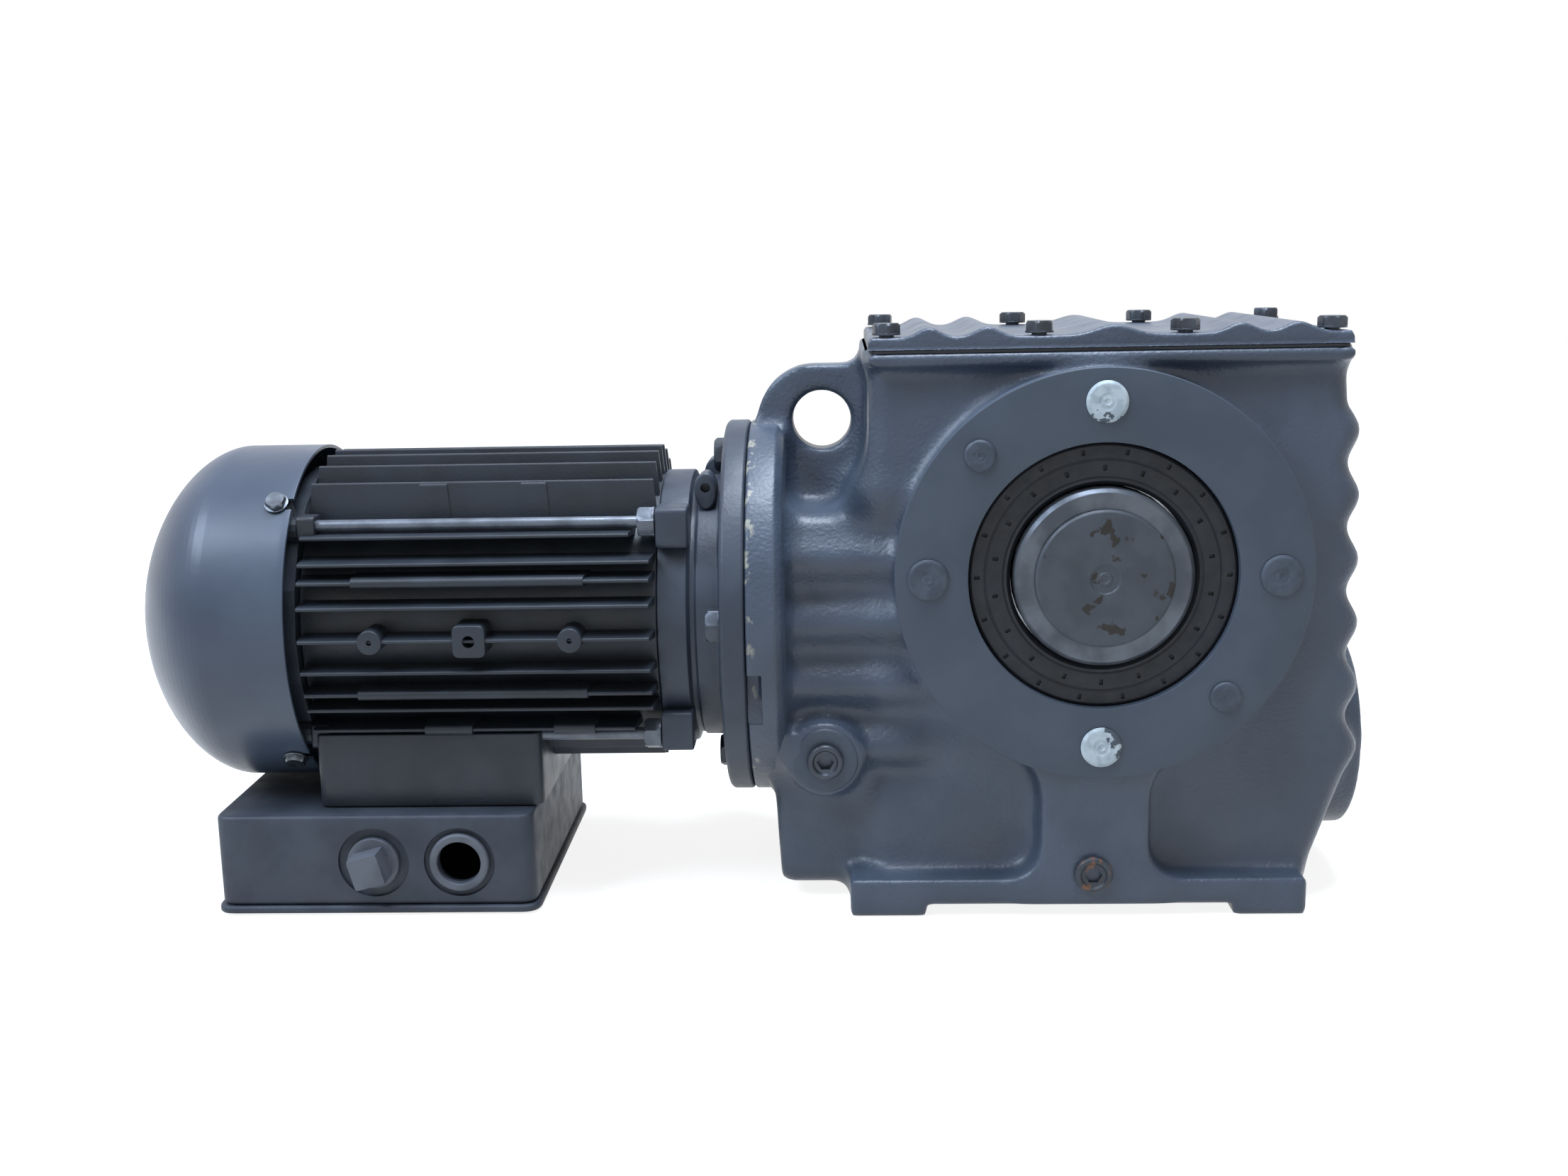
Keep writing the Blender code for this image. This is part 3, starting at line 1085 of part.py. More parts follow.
# A screw that points at the motor axis, with its head outside the cowl.
def radial_screw(shank_r, head_r, depth_r, degrees):
    head_low = COWL_R + GAP
    profile = [(0, depth_r), (shank_r, depth_r), (shank_r, head_low), (head_r, head_low),
               (head_r, head_low + COWL_SCREW_HEAD), (0, head_low + COWL_SCREW_HEAD)]
    shape = turned(profile, "Y", SMALL, (COWL_SCREW_X, 0))
    return moved(turned_about_x(shape, degrees), (0, 0, MOTOR_HEIGHT))


def dome_profile(radius, depth, steps=6):
    profile = []
    for step in range(steps + 1):
        out = math.sin(math.pi / 2 * step / steps)
        reach = (1 - out ** DOME_POWER) ** (1 / DOME_POWER) if step < steps else 0
        profile.append((radius * out, COWL_DOME - depth * reach))
    return profile


def build_cowl():
    depth = COWL_DOME - COWL_BACK
    outer = dome_profile(COWL_R, depth)
    inner = dome_profile(COWL_R - COWL_WALL, depth - COWL_WALL)
    profile = outer + [(COWL_R, COWL_RIM), (COWL_R - COWL_WALL, COWL_RIM)] + inner[::-1]
    cowl = solid("fan_cowl", turned(profile, steps=FINE, centre=(0, MOTOR_HEIGHT)), frame)
    slots = []
    for number in range(GRILLE_SLOTS):
        slots.append(radial_block((COWL_BACK - OVERLAP, COWL_BACK + GRILLE_DEEP), GRILLE_WIDE, GRILLE_INNER,
                                  GRILLE_OUTER, 360 * number / GRILLE_SLOTS))
    cut(cowl, together(slots))
    seats = [radial_block((COWL_SCREW_X - COWL_SCREW_R - GAP, COWL_RIM + OVERLAP),
                          2 * (COWL_SCREW_R + GAP), COWL_R - COWL_SLOT_DEEP,
                          COWL_R + COWL_SLOT_DEEP, degrees)
             for degrees in cowl_screw_angles()]
    cut(cowl, together(seats))
    depth_r = COWL_R - COWL_WALL - COWL_ROOM - SCREW_DEEP
    for number, degrees in enumerate(cowl_screw_angles(), 1):
        solid(f"cowl_screw_{number}", radial_screw(COWL_SCREW_R, COWL_SCREW_HEAD_R, depth_r, degrees),
              frame, STEEL, 0.4, 1)


def build_fan():
    back = FAN_FRONT - FAN_DEEP
    bore = REAR_SHAFT_R + GAP
    profile = [(bore, back), (FAN_HUB_R, back), (FAN_HUB_R, FAN_FRONT - FAN_PLATE),
               (FAN_R, FAN_FRONT - FAN_PLATE), (FAN_R, FAN_FRONT), (bore, FAN_FRONT)]
    fan = solid("fan", turned(profile, steps=ROUND), motor_axis, GREY_PLASTIC, 0.6)
    blades = []
    for number in range(FAN_BLADES):
        blade = block((back + BLADE_IN, FAN_FRONT - BLADE_SINK), (FAN_HUB_R - OVERLAP, FAN_R - 1),
                      (-FAN_BLADE / 2, FAN_BLADE / 2))
        blades.append(turned_about_x(blade, 360 * number / FAN_BLADES))
    join(fan, together(blades))


def build_terminal_box():
    low = LID_BOTTOM + LID_THICK + GAP
    outline = rounded((BOX_LEFT, BOX_RIGHT), (-BOX_HALF_Y, BOX_HALF_Y), BOX_CORNER)
    box = solid("terminal_box", prism(outline, low, BOX_TOP, "Z"), frame)
    inner = rounded((BOX_LEFT + BOX_WALL, BOX_RIGHT - BOX_WALL),
                    (-BOX_HALF_Y + BOX_WALL, BOX_HALF_Y - BOX_WALL), BOX_INNER_CORNER)
    cut(box, prism(inner, low - OVERLAP, BOX_TOP - BOX_WALL, "Z"))
    face = -BOX_HALF_Y
    for x in (PLUG_ENTRY_X, OPEN_ENTRY_X):
        cut(box, rod(ENTRY_RECESS_R, face - OVERLAP, face + ENTRY_RECESS, "Y", (x, ENTRY_HEIGHT), ROUND))
    join(box, rod(ENTRY_RING_R, face - ENTRY_RING_OUT, face + BOX_WALL, "Y",
                  (OPEN_ENTRY_X, ENTRY_HEIGHT), ROUND))
    holes = [rod(ENTRY_HOLE_R, face - 2 * OVERLAP, face + 3 * BOX_WALL, "Y", (x, ENTRY_HEIGHT), ROUND)
             for x in (PLUG_ENTRY_X, OPEN_ENTRY_X)]
    cut(box, together(holes))
    middle = (PEDESTAL_LEFT + PEDESTAL_RIGHT) / 2
    cut(box, rod(LEAD_HOLE_R, BOX_TOP - BOX_WALL - OVERLAP, BOX_TOP + OVERLAP, "Z", (middle, 0), ROUND))
    lid_outline = rounded((BOX_LEFT - LID_LIP, BOX_RIGHT + LID_LIP),
                          (-BOX_HALF_Y - LID_LIP, BOX_HALF_Y + LID_LIP), BOX_CORNER)
    solid("terminal_box_lid", prism(lid_outline, LID_BOTTOM, LID_BOTTOM + LID_THICK, "Z"), frame)
    block_top = BOX_TOP - BOX_WALL - GAP
    half = TERMINAL_LONG / 2
    base = block((middle - half, middle + half), (TERMINAL_FRONT, TERMINAL_FRONT + TERMINAL_WIDE),
                 (block_top - TERMINAL_TALL, block_top))
    solid("terminal_block", base, frame, GREY_PLASTIC, 0.6)
    seat = face + ENTRY_RECESS - GAP
    collar = seat - BLANK_COLLAR
    profile = [(0, collar - BLANK_HEAD), (BLANK_FLATS / 2, collar - BLANK_HEAD, 4),
               (BLANK_FLATS / 2, collar, 4), (BLANK_COLLAR_R, collar), (BLANK_COLLAR_R, seat),
               (ENTRY_HOLE_R - GAP, seat), (ENTRY_HOLE_R - GAP, seat + PLUG_DEEP), (0, seat + PLUG_DEEP)]
    solid("blanking_plug", turned(profile, "Y", SMALL, (PLUG_ENTRY_X, ENTRY_HEIGHT)), frame, DARK_PAINT)


def build_plugs():
    plugs = (("level_plug", LEVEL_PLUG_R, LEVEL_X, LEVEL_HEIGHT, LEVEL_BOSS_Y),
             ("drain_plug", DRAIN_PLUG_R, DRAIN_X, DRAIN_HEIGHT, FOOT_HALF_Y))
    for name, radius, x, height, face in plugs:
        seat = -face - GAP
        shank = radius - PLUG_SEAT - GAP
        top = seat - PLUG_HEAD
        profile = [(0, top), (radius - CAP_BEVEL, top), (radius, top + CAP_BEVEL), (radius, seat),
                   (shank, seat), (shank, seat + PLUG_DEEP), (0, seat + PLUG_DEEP)]
        plug = solid(name, turned(profile, "Y", SMALL, (x, height)), frame, DARK_STEEL, 0.4, 0.8)
        socket = turned([(0, top - OVERLAP), (SOCKET_HALF, top - OVERLAP, 6),
                         (SOCKET_HALF, seat + PLUG_HEAD, 6), (0, seat + PLUG_HEAD)], "Y", SMALL, (x, height))
        cut(plug, socket)


build_housing()
build_cover()
build_output_side()
build_output_shaft()
build_worm_shaft()
build_helical_gear()
build_rotor()
build_front_endshield()
build_motor_frame()
build_rear_endshield()
build_cowl()
build_fan()
build_terminal_box()
build_plugs()
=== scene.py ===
import itertools
import math

import bmesh
import bpy
import numpy as np
from mathutils import Matrix, Vector


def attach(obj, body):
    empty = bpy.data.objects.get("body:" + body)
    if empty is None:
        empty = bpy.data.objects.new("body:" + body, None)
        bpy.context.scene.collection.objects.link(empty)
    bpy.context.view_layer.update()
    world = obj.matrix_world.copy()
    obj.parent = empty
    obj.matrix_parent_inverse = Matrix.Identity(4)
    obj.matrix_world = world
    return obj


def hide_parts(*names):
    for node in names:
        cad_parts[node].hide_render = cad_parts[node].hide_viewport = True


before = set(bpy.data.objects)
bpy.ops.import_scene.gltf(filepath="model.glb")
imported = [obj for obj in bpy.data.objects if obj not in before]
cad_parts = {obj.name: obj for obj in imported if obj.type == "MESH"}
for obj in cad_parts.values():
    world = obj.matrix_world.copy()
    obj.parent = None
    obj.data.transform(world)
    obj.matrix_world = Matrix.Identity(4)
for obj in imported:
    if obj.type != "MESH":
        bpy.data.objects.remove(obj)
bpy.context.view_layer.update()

# All sizes are millimetres. X is measured from the output axis, Y runs along it and Z is up
# from the feet. rawPiece turns them into metres and moves X to the frame's own origin.
layout = {"outputX": 140.25, "outputZ": 140.0, "wormZ": 60.0, "motorZ": 116.005}
millimetre = 0.001
motorAxis = (0.0, layout["motorZ"])
wormAxis = (0.0, layout["wormZ"])


# The line with every corner replaced by the curve (1-s)^2 a + 2s(1-s) b + s^2 c, where a and c
# lie back along the two sides from the corner b by the radius.
def softLine(corners, radius, steps=3, closed=True):
    corners = np.asarray(corners, float)
    before = np.roll(corners, 1, 0)
    after = np.roll(corners, -1, 0)
    back = np.linalg.norm(before - corners, axis=1, keepdims=True)
    ahead = np.linalg.norm(after - corners, axis=1, keepdims=True)
    cut = np.minimum(radius, 0.45 * np.minimum(back, ahead))
    start = corners + (before - corners) / np.maximum(back, 1e-6) * cut
    end = corners + (after - corners) / np.maximum(ahead, 1e-6) * cut
    s = np.linspace(0, 1, steps + 1)[None, :, None]
    curve = (1 - s) ** 2 * start[:, None] + 2 * s * (1 - s) * corners[:, None] + s ** 2 * end[:, None]
    if closed:
        return curve.reshape(-1, 2)
    middle = curve[1:-1].reshape(-1, 2)
    return np.vstack([corners[:1], middle, corners[-1:]])


def onAxis(axis, along, across, up):
    order = {"X": (along, across, up), "Y": (across, along, up), "Z": (across, up, along)}[axis]
    return np.stack(np.broadcast_arrays(*order), -1).reshape(-1, 3)


# Quads of a grid of rows by columns, joined round where it is closed.
def gridFaces(rows, columns, closedRows, closedColumns):
    row = np.arange(rows if closedRows else rows - 1)[:, None]
    column = np.arange(columns if closedColumns else columns - 1)[None, :]
    nextRow = (row + 1) % rows
    nextColumn = (column + 1) % columns
    quads = np.stack([row * columns + column, row * columns + nextColumn,
                      nextRow * columns + nextColumn, nextRow * columns + column], -1)
    return quads.reshape(-1, 4).tolist()


# A profile of (radius, along) turned round an axis: across = r cos a, up = r sin a.
def turned(profile, axis="Y", centre=(0.0, 0.0), soft=0.4, steps=72):
    solidEnds = profile[0][0] == 0 and profile[-1][0] == 0
    line = softLine(profile, soft, closed=not solidEnds)
    angle = np.linspace(0, 2 * np.pi, steps, endpoint=False)[None, :]
    radius = line[:, :1]
    points = onAxis(axis, line[:, 1:], centre[0] + radius * np.cos(angle),
                    centre[1] + radius * np.sin(angle))
    return points, gridFaces(len(line), steps, not solidEnds, True)


def peg(radius, low, high, axis, centre, soft=0.05, steps=24):
    return turned([(0, low), (radius, low), (radius, high), (0, high)], axis, centre, soft, steps)


barLook = {"steps": 60, "chamferLong": 0.16, "chamferIn": 0.19}


# A bar of flat sides whose outer end is turned off in a cone: the radius at an angle is the
# smaller of half the flats over the cosine within its side, and the cone's radius there.
def flatSided(flats, low, high, axis, centre, turn=0.0, sides=6, chamfer=1.0):
    half = flats / 2
    steps = barLook["steps"]
    direction = 1 if high > low else -1
    along = np.array([low, low, high - direction * half * barLook["chamferLong"], high, high])
    corner = 1 / math.cos(math.pi / sides)
    limit = half * np.array([0, 9, corner, corner - barLook["chamferIn"] * chamfer, 0])[:, None]
    angle = np.linspace(0, 2 * np.pi, steps, endpoint=False)[None, :]
    wedge = 2 * np.pi / sides
    side = half / np.cos((angle + turn) % wedge - wedge / 2)
    radius = np.minimum(side, limit)
    points = onAxis(axis, along[:, None], centre[0] + radius * np.cos(angle),
                    centre[1] + radius * np.sin(angle))
    return points, gridFaces(len(along), steps, False, True)


# A closed outline carried along an axis, pulled in by a quarter circle at both ends.
def carried(outline, low, high, axis="Y", edge=0.8, edgeSteps=3):
    outline = np.asarray(outline, float)
    side = np.roll(outline, -1, 0) - np.roll(outline, 1, 0)
    normal = np.stack([side[:, 1], -side[:, 0]], 1)
    normal /= np.maximum(np.linalg.norm(normal, axis=1, keepdims=True), 1e-9)
    following = np.roll(outline, -1, 0)
    normal *= np.sign(np.sum(outline[:, 0] * following[:, 1] - following[:, 0] * outline[:, 1]))
    turn = np.linspace(0, np.pi / 2, edgeSteps + 1)
    inset = edge * (1 - np.sin(turn))
    rise = edge * (1 - np.cos(turn))
    along = np.concatenate([low + rise, (high - rise)[::-1]])
    pull = np.concatenate([inset, inset[::-1]])
    line = outline[None] - normal[None] * pull[:, None, None]
    points = onAxis(axis, along[:, None], line[..., 0], line[..., 1])
    count = len(outline)
    faces = gridFaces(len(along), count, False, True)
    faces += [list(range(count)), list(range((len(along) - 1) * count, len(along) * count))]
    return points, faces


def rounded(left, right, low, high, radius):
    return softLine([(left, low), (right, low), (right, high), (left, high)], radius, 6)


def together(*shapes):
    points = np.vstack([shape[0] for shape in shapes])
    starts = np.cumsum([0] + [len(shape[0]) for shape in shapes])
    faces = [[corner + start for corner in face] for shape, start in zip(shapes, starts)
             for face in shape[1]]
    return points, faces


# The shape turned about the motor's axis.
def roundMotor(shape, degrees):
    turn = math.radians(degrees)
    points = shape[0].copy()
    y, z = points[:, 1].copy(), points[:, 2] - layout["motorZ"]
    points[:, 1] = y * math.cos(turn) - z * math.sin(turn)
    points[:, 2] = y * math.sin(turn) + z * math.cos(turn) + layout["motorZ"]
    return points, shape[1]


meshLook = {"weldMetres": 1e-6, "sharpDeg": 38, "castSharpDeg": 50, "castFlatDeg": 0.25}


def settle(mesh, mend=True):
    work = bmesh.new()
    work.from_mesh(mesh)
    bmesh.ops.remove_doubles(work, verts=work.verts, dist=meshLook["weldMetres"])
    bmesh.ops.dissolve_degenerate(work, edges=work.edges, dist=meshLook["weldMetres"])
    if mend:
        bmesh.ops.recalc_face_normals(work, faces=work.faces)
    work.to_mesh(mesh)
    work.free()
    mesh.shade_smooth()
    mesh.set_sharp_from_angle(angle=math.radians(meshLook["sharpDeg"]))


def rawPiece(name, shape):
    mesh = bpy.data.meshes.new(name)
    points = (shape[0] + (layout["outputX"], 0, 0)) * millimetre
    mesh.from_pydata(points.tolist(), [], shape[1])
    settle(mesh)
    piece = bpy.data.objects.new(name, mesh)
    bpy.context.scene.collection.objects.link(piece)
    return piece


def newPiece(name, shape, look, body="casing", instead=()):
    dress(rawPiece(name, shape), look, body, instead)


def dress(piece, look, body="casing", instead=()):
    piece.data.materials.clear()
    piece.data.materials.append(look)
    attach(piece, body)
    if instead:
        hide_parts(*instead)


# Cuts shapes out of a piece, or adds them to it, and keeps only the result.
def carve(piece, shape, operation="DIFFERENCE"):
    tool = rawPiece("tool", shape)
    change = piece.modifiers.new("carve", "BOOLEAN")
    change.operation = operation
    change.solver = "EXACT"
    change.object = tool
    bakeModifiers(piece)
    bpy.data.objects.remove(tool)
    settle(piece.data, mend=False)


def bakeModifiers(piece):
    bpy.context.view_layer.update()
    changed = piece.evaluated_get(bpy.context.evaluated_depsgraph_get())
    result = bpy.data.meshes.new_from_object(changed)
    piece.modifiers.clear()
    piece.data = result


print("shapes ready")


def linear(hexColour):
    levels = [int(hexColour[start:start + 2], 16) / 255 for start in (1, 3, 5)]
    return (*[v / 12.92 if v <= 0.04045 else ((v + 0.055) / 1.055) ** 2.4 for v in levels], 1.0)


def addNode(tree, kind, settings=None, inputs=None):
    node = tree.nodes.new(kind)
    for key, value in (settings or {}).items():
        setattr(node, key, value)
    for key, value in (inputs or {}).items():
        if isinstance(value, bpy.types.NodeSocket):
            tree.links.new(value, node.inputs[key])
        else:
            node.inputs[key].default_value = value
    return node


# A noise pattern on Object coordinates whose lumps are about the given size in millimetres.
def speckle(tree, sizeMm, detail=3.0, stretch=None):
    place = addNode(tree, "ShaderNodeTexCoord").outputs["Object"]
    if stretch:
        place = addNode(tree, "ShaderNodeMapping", None, {"Vector": place, "Scale": stretch}).outputs[0]
    return addNode(tree, "ShaderNodeTexNoise", None,
                   {"Vector": place, "Scale": 1 / (sizeMm * millimetre), "Detail": detail}).outputs[0]


def ramp(tree, value, low, high):
    return addNode(tree, "ShaderNodeMapRange", {"interpolation_type": "SMOOTHSTEP"},
                   {"Value": value, "From Min": low, "From Max": high}).outputs[0]


def mixed(tree, share, first, second):
    node = addNode(tree, "ShaderNodeMix", {"data_type": "RGBA"}, {0: share, 6: first, 7: second})
    return node.outputs[2]


finishLook = {"coatRoughness": 0.28, "paintSpecular": 0.34, "shadeEdge": (0.36, 0.64),
              "glossPatch": 0.4, "glossEdge": (0.3, 0.7)}


# A finish with two shades mixed in patches, a grain for bump and a spread of roughness.
# patch, grain and depth are millimetres.
def finish(name, shades, patch, grain, depth, gloss, metallic=0.0, coat=0.0, stretch=None):
    material = bpy.data.materials.new(name)
    material.use_nodes = True
    tree = material.node_tree
    shader = tree.nodes["Principled BSDF"]
    shader.inputs["Metallic"].default_value = metallic
    shader.inputs["Coat Weight"].default_value = coat
    shader.inputs["Coat Roughness"].default_value = finishLook["coatRoughness"]
    if not metallic:
        shader.inputs["Specular IOR Level"].default_value = finishLook["paintSpecular"]
    patches = ramp(tree, speckle(tree, patch, 4.0), *finishLook["shadeEdge"])
    colour = mixed(tree, patches, linear(shades[0]), linear(shades[1]))
    tree.links.new(colour, shader.inputs["Base Color"])
    low, high = finishLook["glossEdge"]
    rough = addNode(tree, "ShaderNodeMapRange", None,
                    {"Value": speckle(tree, patch * finishLook["glossPatch"]), "From Min": low,
                     "From Max": high, "To Min": gloss[0], "To Max": gloss[1]}).outputs[0]
    tree.links.new(rough, shader.inputs["Roughness"])
    bump = addNode(tree, "ShaderNodeBump", None,
                   {"Height": speckle(tree, grain, 3.0, stretch), "Strength": 1.0,
                    "Distance": depth * millimetre})
    tree.links.new(bump.outputs[0], shader.inputs["Normal"])
    return material


# Colour laid over a finish where mask is 1.
def overlay(material, mask, shade):
    tree = material.node_tree
    socket = tree.nodes["Principled BSDF"].inputs["Base Color"]
    under = socket.links[0].from_socket
    tree.links.new(mixed(tree, mask, under, linear(shade)), socket)


def axisOf(tree, index):
    place = addNode(tree, "ShaderNodeTexCoord").outputs["Object"]
    return addNode(tree, "ShaderNodeSeparateXYZ", None, {"Vector": place}).outputs[index]


def times(tree, first, second, operation="MULTIPLY"):
    return addNode(tree, "ShaderNodeMath", {"operation": operation}, {0: first, 1: second}).outputs[0]


# Alkyd enamel over green-sand iron castings: a satin skin that drops into the sand grain.
ironEnamel = finish("satin enamel on cast iron", ("#46505f", "#3c4654"), 34, 1.6, 0.34, (0.34, 0.48),
                    coat=0.18)
# The same enamel over milled faces, where only the roller's orange peel is left.
milledEnamel = finish("satin enamel on milled iron", ("#47505c", "#414a56"), 26, 2.4, 0.07, (0.40, 0.52))
# Enamel over die-cast aluminium, thinner and finer than on the iron. Its colour is darker than the iron's as
# painted shade:
# the paint is the same, and the dark stands for the shade between the motor's fins.
finShadedDiecastEnamel = finish("die-cast enamel darkened as painted fin shade", ("#2b3139", "#23282f"), 30, 1.4, 0.08,
                       (0.36, 0.50))
# The same, thicker, on the endshield that is painted together with the gearbox.
shieldEnamel = finish("satin enamel on the endshield's die casting", ("#3d4550", "#333a45"), 30, 1.5, 0.10,
                      (0.36, 0.50))
# Enamel over a deep-drawn steel cowl: smooth, with the widest highlights of the unit.
sheetEnamel = finish("satin enamel on drawn steel", ("#45505f", "#3b4555"), 48, 3.2, 0.07, (0.32, 0.42),
                     coat=0.22)
# Enamel over the die-cast terminal box, dull and a little scuffed.
boxEnamel = finish("dull enamel on die-cast aluminium", ("#3f454f", "#353b45"), 22, 1.5, 0.12, (0.46, 0.62))
# The same dull enamel, greyer over the zinc of the plug and the entry's ring.
plugEnamel = finish("dull enamel on zinc die casting", ("#5a5f68", "#4a4f58"), 14, 1.2, 0.08,
                    (0.44, 0.58), 0.1)
# Nitrile rubber: carbon black, matt, faintly oily.
nitrile = finish("black nitrile rubber", ("#1d2025", "#16181c"), 14, 1.2, 0.08, (0.50, 0.66))
# A turned steel hub left oiled, dark and half bright.
oiledSteel = finish("oiled turned steel", ("#565c64", "#40454c"), 16, 0.9, 0.03, (0.30, 0.44), 0.7)
# Machine screws under the same spray coat, thin enough for the steel to show.
coatedSteel = finish("painted steel fastener", ("#3b424c", "#2c3138"), 9, 0.9, 0.05, (0.32, 0.46), 0.35)
# Long tie rods and their nuts, which took less of the spray.
rodSteel = finish("tie-rod steel under a thin spray", ("#656c76", "#50565f"), 12, 0.9, 0.04,
                  (0.30, 0.44), 0.3)
# The drain plug's head, knocked bare in places and rusting there.
rustedSteel = finish("painted steel, rusting where it is knocked", ("#343a42", "#2a2f35"), 7, 1.2, 0.12,
                     (0.42, 0.58), 0.2)
rustTree = rustedSteel.node_tree
overlay(rustedSteel, ramp(rustTree, speckle(rustTree, 5.0, 5.0), 0.56, 0.62), "#6a4a38")
# Bare metals: zinc plate on the cowl's screws, ground races, teeth, the bronze rim, the breather.
zincSteel = finish("zinc-plated steel", ("#84898f", "#5f656d"), 8, 0.8, 0.03, (0.26, 0.40), 0.9)
groundSteel = finish("ground bearing steel", ("#b4b7bb", "#9b9fa4"), 12, 0.6, 0.01, (0.16, 0.26), 1.0)
toothSteel = finish("hardened gear steel", ("#8f9297", "#73767b"), 10, 0.7, 0.02, (0.24, 0.34), 1.0)
castBronze = finish("centrifugally cast bronze", ("#b98a4c", "#9a6f38"), 10, 0.8, 0.02, (0.28, 0.40), 1.0)
brightBrass = finish("bright brass", ("#d8b45a", "#b8923d"), 6, 0.6, 0.02, (0.20, 0.32), 1.0)
# The motor's core: laminations seen edge on, with varnished copper beside them.
corePack = finish("varnished laminations and copper", ("#7a4a30", "#4c4038"), 6, 0.5, 0.05,
                  (0.40, 0.60), 0.5, stretch=(6.0, 1.0, 1.0))
# Moulded nylon for the fan and the terminal block.
blackNylon = finish("black nylon", ("#1c1e21", "#26292d"), 12, 0.9, 0.04, (0.42, 0.56))
# Polyethylene caps sprayed over with the unit's enamel.
sprayedCap = finish("sprayed polyethylene", ("#48515d", "#3a424d"), 5, 0.8, 0.06, (0.38, 0.54))

# Old putty and bare primer, chipped out along the flange's joint.
puttyLook = {"x": -138.65, "fade": (3.6, 1.2), "lump": 4.4, "tall": (1.0, 1.0, 0.45),
             "edge": (0.56, 0.63)}
puttyTree = ironEnamel.node_tree
puttyX = (puttyLook["x"] + layout["outputX"]) * millimetre
fromJoint = times(puttyTree, times(puttyTree, axisOf(puttyTree, 0), -puttyX, "ADD"), 1.0, "ABSOLUTE")
far, near = puttyLook["fade"]
joint = ramp(puttyTree, fromJoint, far * millimetre, near * millimetre)
chips = ramp(puttyTree, speckle(puttyTree, puttyLook["lump"], 6.0, puttyLook["tall"]), *puttyLook["edge"])
overlay(ironEnamel, times(puttyTree, joint, chips), "#8d8c82")


coatAndShadeLook = {"lump": 2.6, "ragged": 12.0, "edge": (3.6, 4.2)}


# A white polyethylene cap darkened on one side of its centre in the enamel's colour: the spray coat left
# there, and on the top cap also painted shadow along its foot. The centre is in millimetres and side points
# from it, in X and Z, to the darkened side.
def coatAndShadeCap(name, centre, side):
    material = finish(name, ("#c6d2d7", "#aab7bd"), 4, 0.8, 0.05, (0.36, 0.50))
    tree = material.node_tree
    across = times(tree, axisOf(tree, 0), -(centre[0] + layout["outputX"]) * millimetre, "ADD")
    up = times(tree, axisOf(tree, 2), -centre[1] * millimetre, "ADD")
    lean = times(tree, times(tree, across, side[0]), times(tree, up, side[1]), "ADD")
    look = coatAndShadeLook
    uneven = times(tree, speckle(tree, look["lump"], 5.0), -0.5, "ADD")
    ragged = times(tree, uneven, look["ragged"] * millimetre)
    near, far = look["edge"]
    left = ramp(tree, times(tree, lean, ragged, "ADD"), near * millimetre, far * millimetre)
    # The darkened side: leftover spray coat, and on the top cap painted shadow as well.
    overlay(material, left, "#4a535c")
    return material


# The bore's cap keeps most of its dark skin, with the enamel flaked off it in islands.
flakedCap = finish("flaked enamel on polyethylene", ("#454b53", "#3b4148"), 12, 1.1, 0.06, (0.34, 0.50))
flakeTree = flakedCap.node_tree
flakes = ramp(flakeTree, speckle(flakeTree, 8.5, 6.0), 0.60, 0.63)
overlay(flakedCap, flakes, "#1b1714")

print("materials ready")


stageLook = {"floorSize": 6.0, "floor": "#b8b7b4", "skyForLight": 0.15, "backdrop": 1.0}
cameraLook = {"lensMm": 38.395, "filmMm": 36.0, "place": (0.03931, -0.71512, 0.26269),
              "downDeg": 11.077, "leftDeg": 2.067, "rollDeg": 1.092}


def buildStage():
    half = stageLook["floorSize"] / 2
    mesh = bpy.data.meshes.new("floor")
    mesh.from_pydata([(-half, -half, 0), (half, -half, 0), (half, half, 0), (-half, half, 0)], [],
                     [(0, 1, 2, 3)])
    floor = bpy.data.objects.new("floor", mesh)
    bpy.context.scene.collection.objects.link(floor)
    material = bpy.data.materials.new("white studio floor")
    material.use_nodes = True
    tree = material.node_tree
    shader = tree.nodes["Principled BSDF"]
    shader.inputs["Base Color"].default_value = linear(stageLook["floor"])
    shader.inputs["Roughness"].default_value = 0.9
    # The floor stays white for the camera and for gloss, but keeps the object's soft shadow.
    shader.inputs["Emission Color"].default_value = (1, 1, 1, 1)
    rays = addNode(tree, "ShaderNodeLightPath")
    seen = times(tree, rays.outputs["Is Camera Ray"], rays.outputs["Is Glossy Ray"], "MAXIMUM")
    tree.links.new(times(tree, seen, 0.85), shader.inputs["Emission Strength"])
    mesh.materials.append(material)


def buildWorld():
    world = bpy.data.worlds.new("studio")
    bpy.context.scene.world = world
    world.use_nodes = True
    tree = world.node_tree
    back = tree.nodes["Background"]
    back.inputs["Color"].default_value = (1, 1, 1, 1)
    rays = addNode(tree, "ShaderNodeLightPath")
    mirrored = times(tree, rays.outputs["Is Glossy Ray"], rays.outputs["Is Transmission Ray"], "MAXIMUM")
    seen = times(tree, rays.outputs["Is Camera Ray"], mirrored, "MAXIMUM")
    strength = addNode(tree, "ShaderNodeMapRange", None,
                       {"Value": seen, "To Min": stageLook["skyForLight"],
                        "To Max": stageLook["backdrop"]}).outputs[0]
    tree.links.new(strength, back.inputs["Strength"])


def buildLamp(name, place, aim, size, power, shade):
    lamp = bpy.data.lights.new(name, "AREA")
    lamp.shape = "RECTANGLE"
    lamp.size, lamp.size_y = size
    lamp.energy = power
    lamp.color = linear(shade)[:3]
    holder = bpy.data.objects.new(name, lamp)
    holder.location = place
    holder.rotation_euler = (Vector(aim) - Vector(place)).to_track_quat("-Z", "Y").to_euler()
    bpy.context.scene.collection.objects.link(holder)


